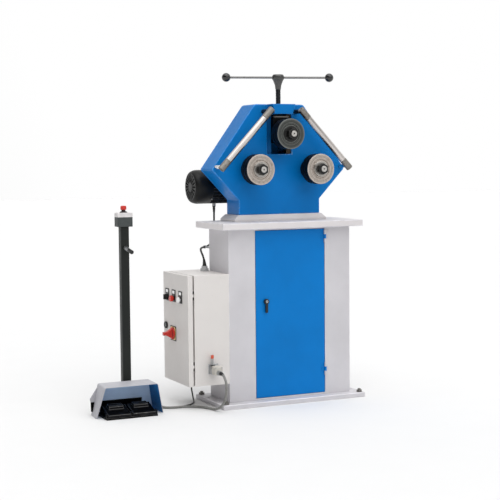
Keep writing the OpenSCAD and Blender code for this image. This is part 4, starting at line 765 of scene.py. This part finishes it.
# The last number is how much lighter the inner ring and the painted rim highlight are
for side in ("left", "right"):
    dress_roll(side, roll_face(side, srgb(180, 171, 163), 0.85, srgb(98, 78, 64), 0.26, 1.5), black_steel, washer_steel)
dress_roll("top", roll_face("top", srgb(84, 86, 84), 0.5, srgb(40, 41, 41), 0.50, 3.2), black_steel, dark_steel)
for side in ("left", "right", "top"):
    x, z = ROLL_AXES[side]
    shaft_end = turned(f"{side}_shaft_end", ROLL_AXES[side], srgb(206, 203, 199), rough=0.3, marks=500)
    dress(f"{side}_shaft", [shaft_end], edge=0.0012)
    # Each shaft end gets a small dark disc as painted shade for its centre hole
    centre_hole_painted_shade = bmesh.new()
    lathe(centre_hole_painted_shade, [(0.0028, 0), (0.0026, 0.0003), (0.0016, 0.0003), (0.0004, 0.0001)],
          (x, STUB_FRONT, z), (0, -1, 0), 20)
    finish_piece(f"{side}_centre_hole_painted_shade", centre_hole_painted_shade, [black_steel], frame["nodes"][f"{side}_shaft"]["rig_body"],
                 edge=0)
for node in ("left_gear", "right_gear", "pinion_shaft", "worm"):
    dress(node, [gear_steel], edge=0)
dress("worm_wheel", [bronze], edge=0)
dress("top_block", [black_steel, bright_steel], edge=0.0012, pick=lambda c, n: 1 if c.z > BLOCK_TOP - HAIR else 0)


# Feed screw and its handle
def add_feed_screw(finish):
    """The feed screw: smooth foot and neck in the sliding block, threaded shank, spigot in the handle."""
    around, per_pitch = 40, 8
    low, high = SCREW_SPAN
    rows = int((high - low) / SCREW_PITCH * per_pitch)
    shape = bmesh.new()
    loops = []
    for i in range(rows + 1):
        z = low + (high - low) * i / rows
        fade = min(1.0, (z - low) / (0.6 * SCREW_PITCH), (high - z) / (0.6 * SCREW_PITCH))
        loop = []
        for k in range(around):
            a = math.tau * k / around
            flank = abs((z / SCREW_PITCH - k / around) % 1.0 - 0.5) * 4 - 0.5
            r = SCREW_RADIUS - SCREW_DEPTH * fade * max(0.0, min(1.0, flank))
            loop.append(shape.verts.new((r * math.cos(a), SCREW_Y + r * math.sin(a), z)))
        loops.append(loop)
    for lower, upper in zip(loops, loops[1:]):
        for k in range(around):
            shape.faces.new((lower[k], lower[(k + 1) % around], upper[(k + 1) % around], upper[k]))
    shape.faces.new(list(reversed(loops[0])))
    shape.faces.new(loops[-1])
    axis = Vector((0, SCREW_Y, 0))
    for radius, z0, z1 in SCREW_PLAIN:
        lathe(shape, [(radius - 0.0006, z0), (radius, z0 + 0.0006), (radius, z1 - 0.0006), (radius - 0.0006, z1)],
              axis, (0, 0, 1), around)
    piece = finish_piece("threaded_feed_screw", shape, [finish], "screw", edge=0, angle=50)
    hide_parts("feed_screw")


add_feed_screw(dark_steel)
dress("screw_handle", [hub_steel, bar_steel], edge=0.0014,
      pick=lambda c, n: 1 if math.hypot(c.x, c.y - SCREW_Y) > HUB_RADIUS + 0.004 else 0)
dress("handle_knobs", [gloss_black], edge=0.0008)

# Drive
for node in ("gearbox_housing", "motor_body"):
    dress(node, [black_paint], edge=0.0016, edge_wear_and_highlight=black_edge)


def add_fan_cover():
    """A pressed fan cover: flange at the motor, round shoulder and an end with slots along the radii."""
    open_end, full = FAN_COVER[1], MOTOR_RADIUS
    profile = [(open_end, full - FAN_FLANGE), (open_end, full - 0.001), (open_end - 0.001, full)]
    for k in range(FAN_SHOULDER_STEPS + 1):
        a = math.radians(90 * k / FAN_SHOULDER_STEPS)
        profile.append((FAN_COVER[0] + FAN_SHOULDER[0] * (1 - math.sin(a)),
                        full - FAN_SHOULDER[1] * (1 - math.cos(a))))
    profile += [(FAN_COVER[0], r) for r in FAN_RADII]
    shape = bmesh.new()
    loops = []
    for x, r in profile:
        half_slot = math.asin(min(0.5, FAN_SLOT_WIDTH / 2 / r)) if r <= FAN_RADII[0] + 1e-6 else FAN_STEP / 6
        loop = []
        for i in range(FAN_SLOTS):
            for a in (-FAN_STEP / 2, -half_slot, half_slot):
                a += i * FAN_STEP
                loop.append(shape.verts.new((x, MOTOR_AXIS[0] + r * math.cos(a), MOTOR_AXIS[1] + r * math.sin(a))))
        loops.append(loop)
    first_slot = len(profile) - len(FAN_RADII)
    count = 3 * FAN_SLOTS
    for row, (outer, inner) in enumerate(zip(loops, loops[1:])):
        for k in range(count):
            if row >= first_slot and k % 3 == 1:
                continue
            shape.faces.new((outer[k], outer[(k + 1) % count], inner[(k + 1) % count], inner[k]))
    shape.faces.new(loops[-1])
    body = frame["nodes"]["motor_fan_cover"]["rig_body"]
    piece = finish_piece("domed_fan_cover", shape, [black_paint], body, edge=0, angle=50)
    wall = piece.modifiers.new("wall", "SOLIDIFY")
    wall.thickness = 0.0015
    wall.offset = -1
    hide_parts("motor_fan_cover")


add_fan_cover()
dress("motor_rotor", [zinc], edge=0)

terminal_z = MOTOR_AXIS[1]
terminal = bmesh.new()
slab(terminal, (TERMINAL_X - TERMINAL_HALF + 0.0015, TERMINAL_DEPTH[0], terminal_z - TERMINAL_HALF + 0.0015),
     (TERMINAL_X + TERMINAL_HALF - 0.0015, TERMINAL_DEPTH[1] - 0.0130, terminal_z + TERMINAL_HALF - 0.0015))
slab(terminal, (TERMINAL_X - TERMINAL_HALF, TERMINAL_DEPTH[1] - 0.0124, terminal_z - TERMINAL_HALF),
     (TERMINAL_X + TERMINAL_HALF, TERMINAL_DEPTH[1] - 0.0020, terminal_z + TERMINAL_HALF))
terminal_box = finish_piece("terminal_box_with_lid", terminal, [black_paint], "frame", edge=0.0025)
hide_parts("motor_terminal_box")
socket_screws("terminal_screws", [(TERMINAL_X + sx * TERMINAL_SCREWS, TERMINAL_DEPTH[1] - 0.0022,
                                   terminal_z + sz * TERMINAL_SCREWS) for sx in (-1, 1) for sz in (-1, 1)],
              (0, 1, 0), 0.0024, "frame", zinc)
for angle in (45, 135, 225, 315):
    out = Vector((0, math.cos(math.radians(angle)), math.sin(math.radians(angle))))
    at = Vector((FAN_COVER[1] - 0.004, MOTOR_AXIS[0], MOTOR_AXIS[1])) + out * (MOTOR_RADIUS - 0.0006)
    socket_screws(f"fan_cover_screw_{angle}", [at], out, 0.0040, "frame", zinc)
socket_screws("gearbox_screws", [(GEARBOX_SCREWS * math.cos(math.radians(a)), GEARBOX_BACK - SEAT,
                                  PINION_Z + GEARBOX_SCREWS * math.sin(math.radians(a))) for a in range(30, 390, 60)],
              (0, 1, 0), 0.0045, "frame", zinc)
socket_screws("rear_cover_screws", [(s * x, HEAD_BACK - SEAT, z) for s in (-1, 1) for x, z in REAR_SCREWS],
              (0, 1, 0), 0.0050, "frame", zinc)
socket_screws("bearing_cap_screws", [(x + CAP_BOLTS * math.cos(math.radians(a)), CAP_FRONT + SEAT,
                                      z + CAP_BOLTS * math.sin(math.radians(a)))
                                     for x, z in (ROLL_AXES["left"], ROLL_AXES["right"]) for a in (45, 135, 225, 315)],
              (0, -1, 0), 0.0040, "frame", black_steel)
dress("cable_fittings", [gland_plastic, zinc], edge=0.0010,
      pick=lambda c, n: 1 if CLIP_HEIGHTS[0] < c.z < CLIP_HEIGHTS[1] else 0)

# Control box
dress("ebox_body", [box_paint], edge=0.0010, edge_wear_and_highlight=box_edge)
dress("ebox_components", [relay_plastic, zinc], edge=0.0010, pick=lambda c, n: 1 if c.x > EBOX_PLATE else 0)
dress("ebox_door", [box_paint, seal_rubber], edge=0.0016, edge_wear_and_highlight=box_edge,
      pick=lambda c, n: 1 if c.x > DOOR_INNER + 0.001 and c.y > -0.1 else 0,
      share=lambda p: 1.0 if p.x < DOOR_OUTER + 0.0005 else 0.0)
dress("control_plates", [black_plastic], edge=0.0008)
dress("switch_handle", [red_plastic], edge=0.0030, steps=3)
dress("selector_knob", [black_plastic], edge=0.0009)


def off_stem(axes, middle, radius):
    """Full radius, but none along a button's stem, which slides into a hole."""
    return lambda p: 0.0 if math.hypot(p[axes[0]] - middle[0], p[axes[1]] - middle[1]) < radius else 1.0


dress("stop_push", [red_plastic], edge=0.0022, steps=3, share=off_stem((1, 2), (BUTTONS_Y["red"], BUTTON_Z), PUSH_STEM))
dress("start_push", [white_plastic], edge=0.0018, steps=3,
      share=off_stem((1, 2), (BUTTONS_Y["white"], BUTTON_Z), PUSH_STEM))
dress("ebox_lock", [black_plastic, zinc], edge=0.0008,
      pick=lambda c, n: 1 if math.hypot(c.y - LOCK[0], c.z - LOCK[1]) < LOCK_CORE else 0)
door_body = frame["nodes"]["control_plates"]["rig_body"]
legends = bmesh.new()
for y in BUTTONS_Y.values():
    slab(legends, (PLATE_OUTER - 0.0007, y - 0.0125, LEGEND_Z[0]), (PLATE_OUTER + 0.0010, y + 0.0125, LEGEND_Z[1]))
finish_piece("blank_legends", legends, [white_plastic], door_body, edge=0.0003)
framed_plate("switch_surround", (PLATE_OUTER + 0.0002, *SWITCH), 0.0300, SWITCH_HUB_RADIUS + 0.0015, 0.0014, 0.3 * 0.03,
             yellow_plastic, door_body)

# Connector
dress("connector_base", [zinc], edge=0.0015)


def plug_edge(point):
    """Full radius, but none where the nose meets the front."""
    at_nose = math.hypot(point.x - PLUG_X, point.z - PLUG_NOSE_Z) < PLUG_NOSE_RADIUS + 0.001
    return 0.0 if at_nose and abs(point.y - PLUG_FRONT) < 0.001 else 1.0


dress("connector_hood", [cast_grey], edge=0.0035, steps=3, share=plug_edge)
gland = bmesh.new()
plug_nose = (PLUG_X, PLUG_FRONT, PLUG_NOSE_Z)
lathe(gland, [(0.0118, 0.0003), (0.0122, 0.0010), (0.0122, 0.0070), (0.0116, 0.0078)], plug_nose, (0, -1, 0), flats=6)
lathe(gland, [(0.0102, 0.0110), (0.0106, 0.0118), (0.0106, 0.0190), (0.0094, 0.0216)], plug_nose, (0, -1, 0), flats=12)
finish_piece("connector_gland", gland, [zinc], "frame", edge=0.0004, angle=25)
socket_screws("connector_screws", [(PLUG_X + s * 0.0150, PLUG_FRONT + SEAT, PLUG_NOSE_Z + 0.0220) for s in (-1, 1)],
              (0, -1, 0), 0.0024, "frame", zinc)
strain_relief("pedal_cable_relief", PEDAL_CABLE, 0.026, (0.0086, 0.0064), black_plastic)
strain_relief("pedal_inlet_relief", PEDAL_CABLE[::-1], 0.024, (0.0070, 0.0062), black_plastic)
strain_relief("stop_cable_relief", STOP_CABLE, 0.026, (0.0068, 0.0044), black_plastic)
strain_relief("stop_inlet_relief", STOP_CABLE[::-1], 0.024, (0.0066, 0.0044), black_plastic)
strain_relief("motor_cable_relief", MOTOR_CABLE, 0.030, (0.0080, 0.0052), black_plastic)
strain_relief("box_cable_relief", MOTOR_CABLE[::-1], 0.030, (0.0100, 0.0054), black_plastic)
dress("connector_lever", [lever_red, zinc], edge=0.0025, steps=3, pick=lambda c, n: 0 if c.z > LEVER_BREAK else 1,
      cuts=[((0, 0, LEVER_BREAK), (0, 0, 1))], share=lambda p: 1.0 if p.z > LEVER_BREAK else 0.2)

# Foot pedal
dress("pedal_base", [pedal_black], edge=0.0012, edge_wear_and_highlight=pedal_edge)


def tread_edge(point):
    """Full radius, but none round the bore of the pin."""
    return 0.0 if math.hypot(point.y - PEDAL_PIN[0], point.z - PEDAL_PIN[1]) < PEDAL_BORE + 0.0005 else 1.0


for node in ("left_pedal", "right_pedal"):
    dress(node, [pedal_black], edge=0.0026, edge_wear_and_highlight=pedal_edge, steps=3, angle=20, share=tread_edge)


def hood_part(centre, normal):
    """Grey outside; inside, one blue paint, pale on the back wall and roof as painted light and darker on the sides as
    painted shade; black foot of the lug.
    """
    if LUG_DEPTH[0] < centre.y < LUG_DEPTH[1] and centre.x < HOOD_MIDDLE.x - LUG_REACH:
        return 3 if centre.z < LUG_BREAK else 0
    if normal.dot(HOOD_MIDDLE - centre) <= 0:
        return 0
    return 1 if normal.y < -0.5 or normal.z < -0.5 else 2


dress("pedal_hood", [hood_paint, hood_blue_painted_light, hood_blue_painted_shade, pedal_black], edge=0, pick=hood_part,
      cuts=[((0, 0, LUG_BREAK), (0, 0, 1))])
dress("pedal_post", [post_paint, zinc, black_plastic], edge=0.0025, edge_wear_and_highlight=post_edge,
      pick=lambda c, n: 0 if c.y > POST_FRONT - 0.001 else 1 if c.y > GRIP_BREAK else 2,
      cuts=[((0, GRIP_BREAK, 0), (0, 1, 0)), ((POST_X, 0, 0), (1, 0, 0), (0, 1, 0))])
dress("stop_box", [grey_plastic, pale_plastic, black_plastic], edge=0.0025, steps=3,
      pick=lambda c, n: 2 if c.z > STOP_LID_TOP + HAIR else 1 if c.z > STOP_BOX_TOP + HAIR else 0,
      cuts=[((0, 0, STOP_BOX_TOP), (0, 0, 1))], share=off_stem((0, 1), (POST_X, POST_Y), STOP_NECK))
collar = bmesh.new()
lathe(collar, [(0.0176, 0), (0.0176, 0.0010), (0.0134, 0.0056), (0.0118, 0.0060)],
      (POST_X, POST_Y, STOP_LID_TOP), (0, 0, 1), 36)
finish_piece("stop_button_collar", collar, [black_plastic], "frame", edge=0)
dress("stop_mushroom", [red_plastic, black_plastic], edge=0.0012, pick=lambda c, n: 1 if c.z < STOP_CAP_LOW else 0,
      share=off_stem((0, 1), (POST_X, POST_Y), STOP_STEM))

# Studio
KEY = ((0.10, -0.62, 0.78), 1.68, 75)
LEFT_FILL = ((-0.28, -0.10, 0.95), 1.0, 60)
FLOOR_HALF = 30
SKY_LEVEL = 0.46
SKY_SLOPE = (0.44, 0.43, 0.14)
HORIZON_LEVEL = 0.95
HORIZON_HEIGHT = 0.22
floor_mesh = bpy.data.meshes.new("floor_mesh")
floor_shape = bmesh.new()
bmesh.ops.create_grid(floor_shape, x_segments=1, y_segments=1, size=FLOOR_HALF)
floor_shape.to_mesh(floor_mesh)
floor_shape.free()
floor_mesh.materials.append(floor_finish)
floor = bpy.data.objects.new("floor", floor_mesh)
bpy.context.scene.collection.objects.link(floor)


def far_light(name, towards, strength, spread):
    """A distant soft light that shines from a direction."""
    data = bpy.data.lights.new(name, "SUN")
    data.energy = strength
    data.angle = math.radians(spread)
    light = bpy.data.objects.new(name, data)
    light.rotation_euler = Vector(towards).to_track_quat("Z", "Y").to_euler()
    bpy.context.scene.collection.objects.link(light)


far_light("key", *KEY)
far_light("left_fill", *LEFT_FILL)

# A white surround that is dimmer to the left and in front, so that the left sides are in half shade, with a pale
# horizon all round
world = bpy.data.worlds.new("studio")
world.use_nodes = True
nodes, links = world.node_tree.nodes, world.node_tree.links
direction = nodes.new("ShaderNodeTexCoord").outputs["Generated"]
slope = nodes.new("ShaderNodeVectorMath")
slope.operation = "DOT_PRODUCT"
slope.inputs[1].default_value = SKY_SLOPE
links.new(direction, slope.inputs[0])
level = nodes.new("ShaderNodeMapRange")
level.inputs["From Min"].default_value = -SKY_LEVEL
level.inputs["From Max"].default_value = 1 - SKY_LEVEL
links.new(slope.outputs["Value"], level.inputs["Value"])
height = nodes.new("ShaderNodeSeparateXYZ")
links.new(direction, height.inputs["Vector"])
horizon = nodes.new("ShaderNodeMapRange")
horizon.inputs["From Max"].default_value = HORIZON_HEIGHT
horizon.inputs["To Min"].default_value = HORIZON_LEVEL
horizon.inputs["To Max"].default_value = 0.0
links.new(height.outputs["Z"], horizon.inputs["Value"])
brighter = nodes.new("ShaderNodeMath")
brighter.operation = "MAXIMUM"
links.new(level.outputs["Result"], brighter.inputs[0])
links.new(horizon.outputs["Result"], brighter.inputs[1])
links.new(brighter.outputs["Value"], nodes["Background"].inputs["Strength"])
nodes["Background"].inputs["Color"].default_value = (1.0, 1.0, 1.0, 1.0)
bpy.context.scene.world = world
bpy.context.scene.view_settings.view_transform = "Standard"
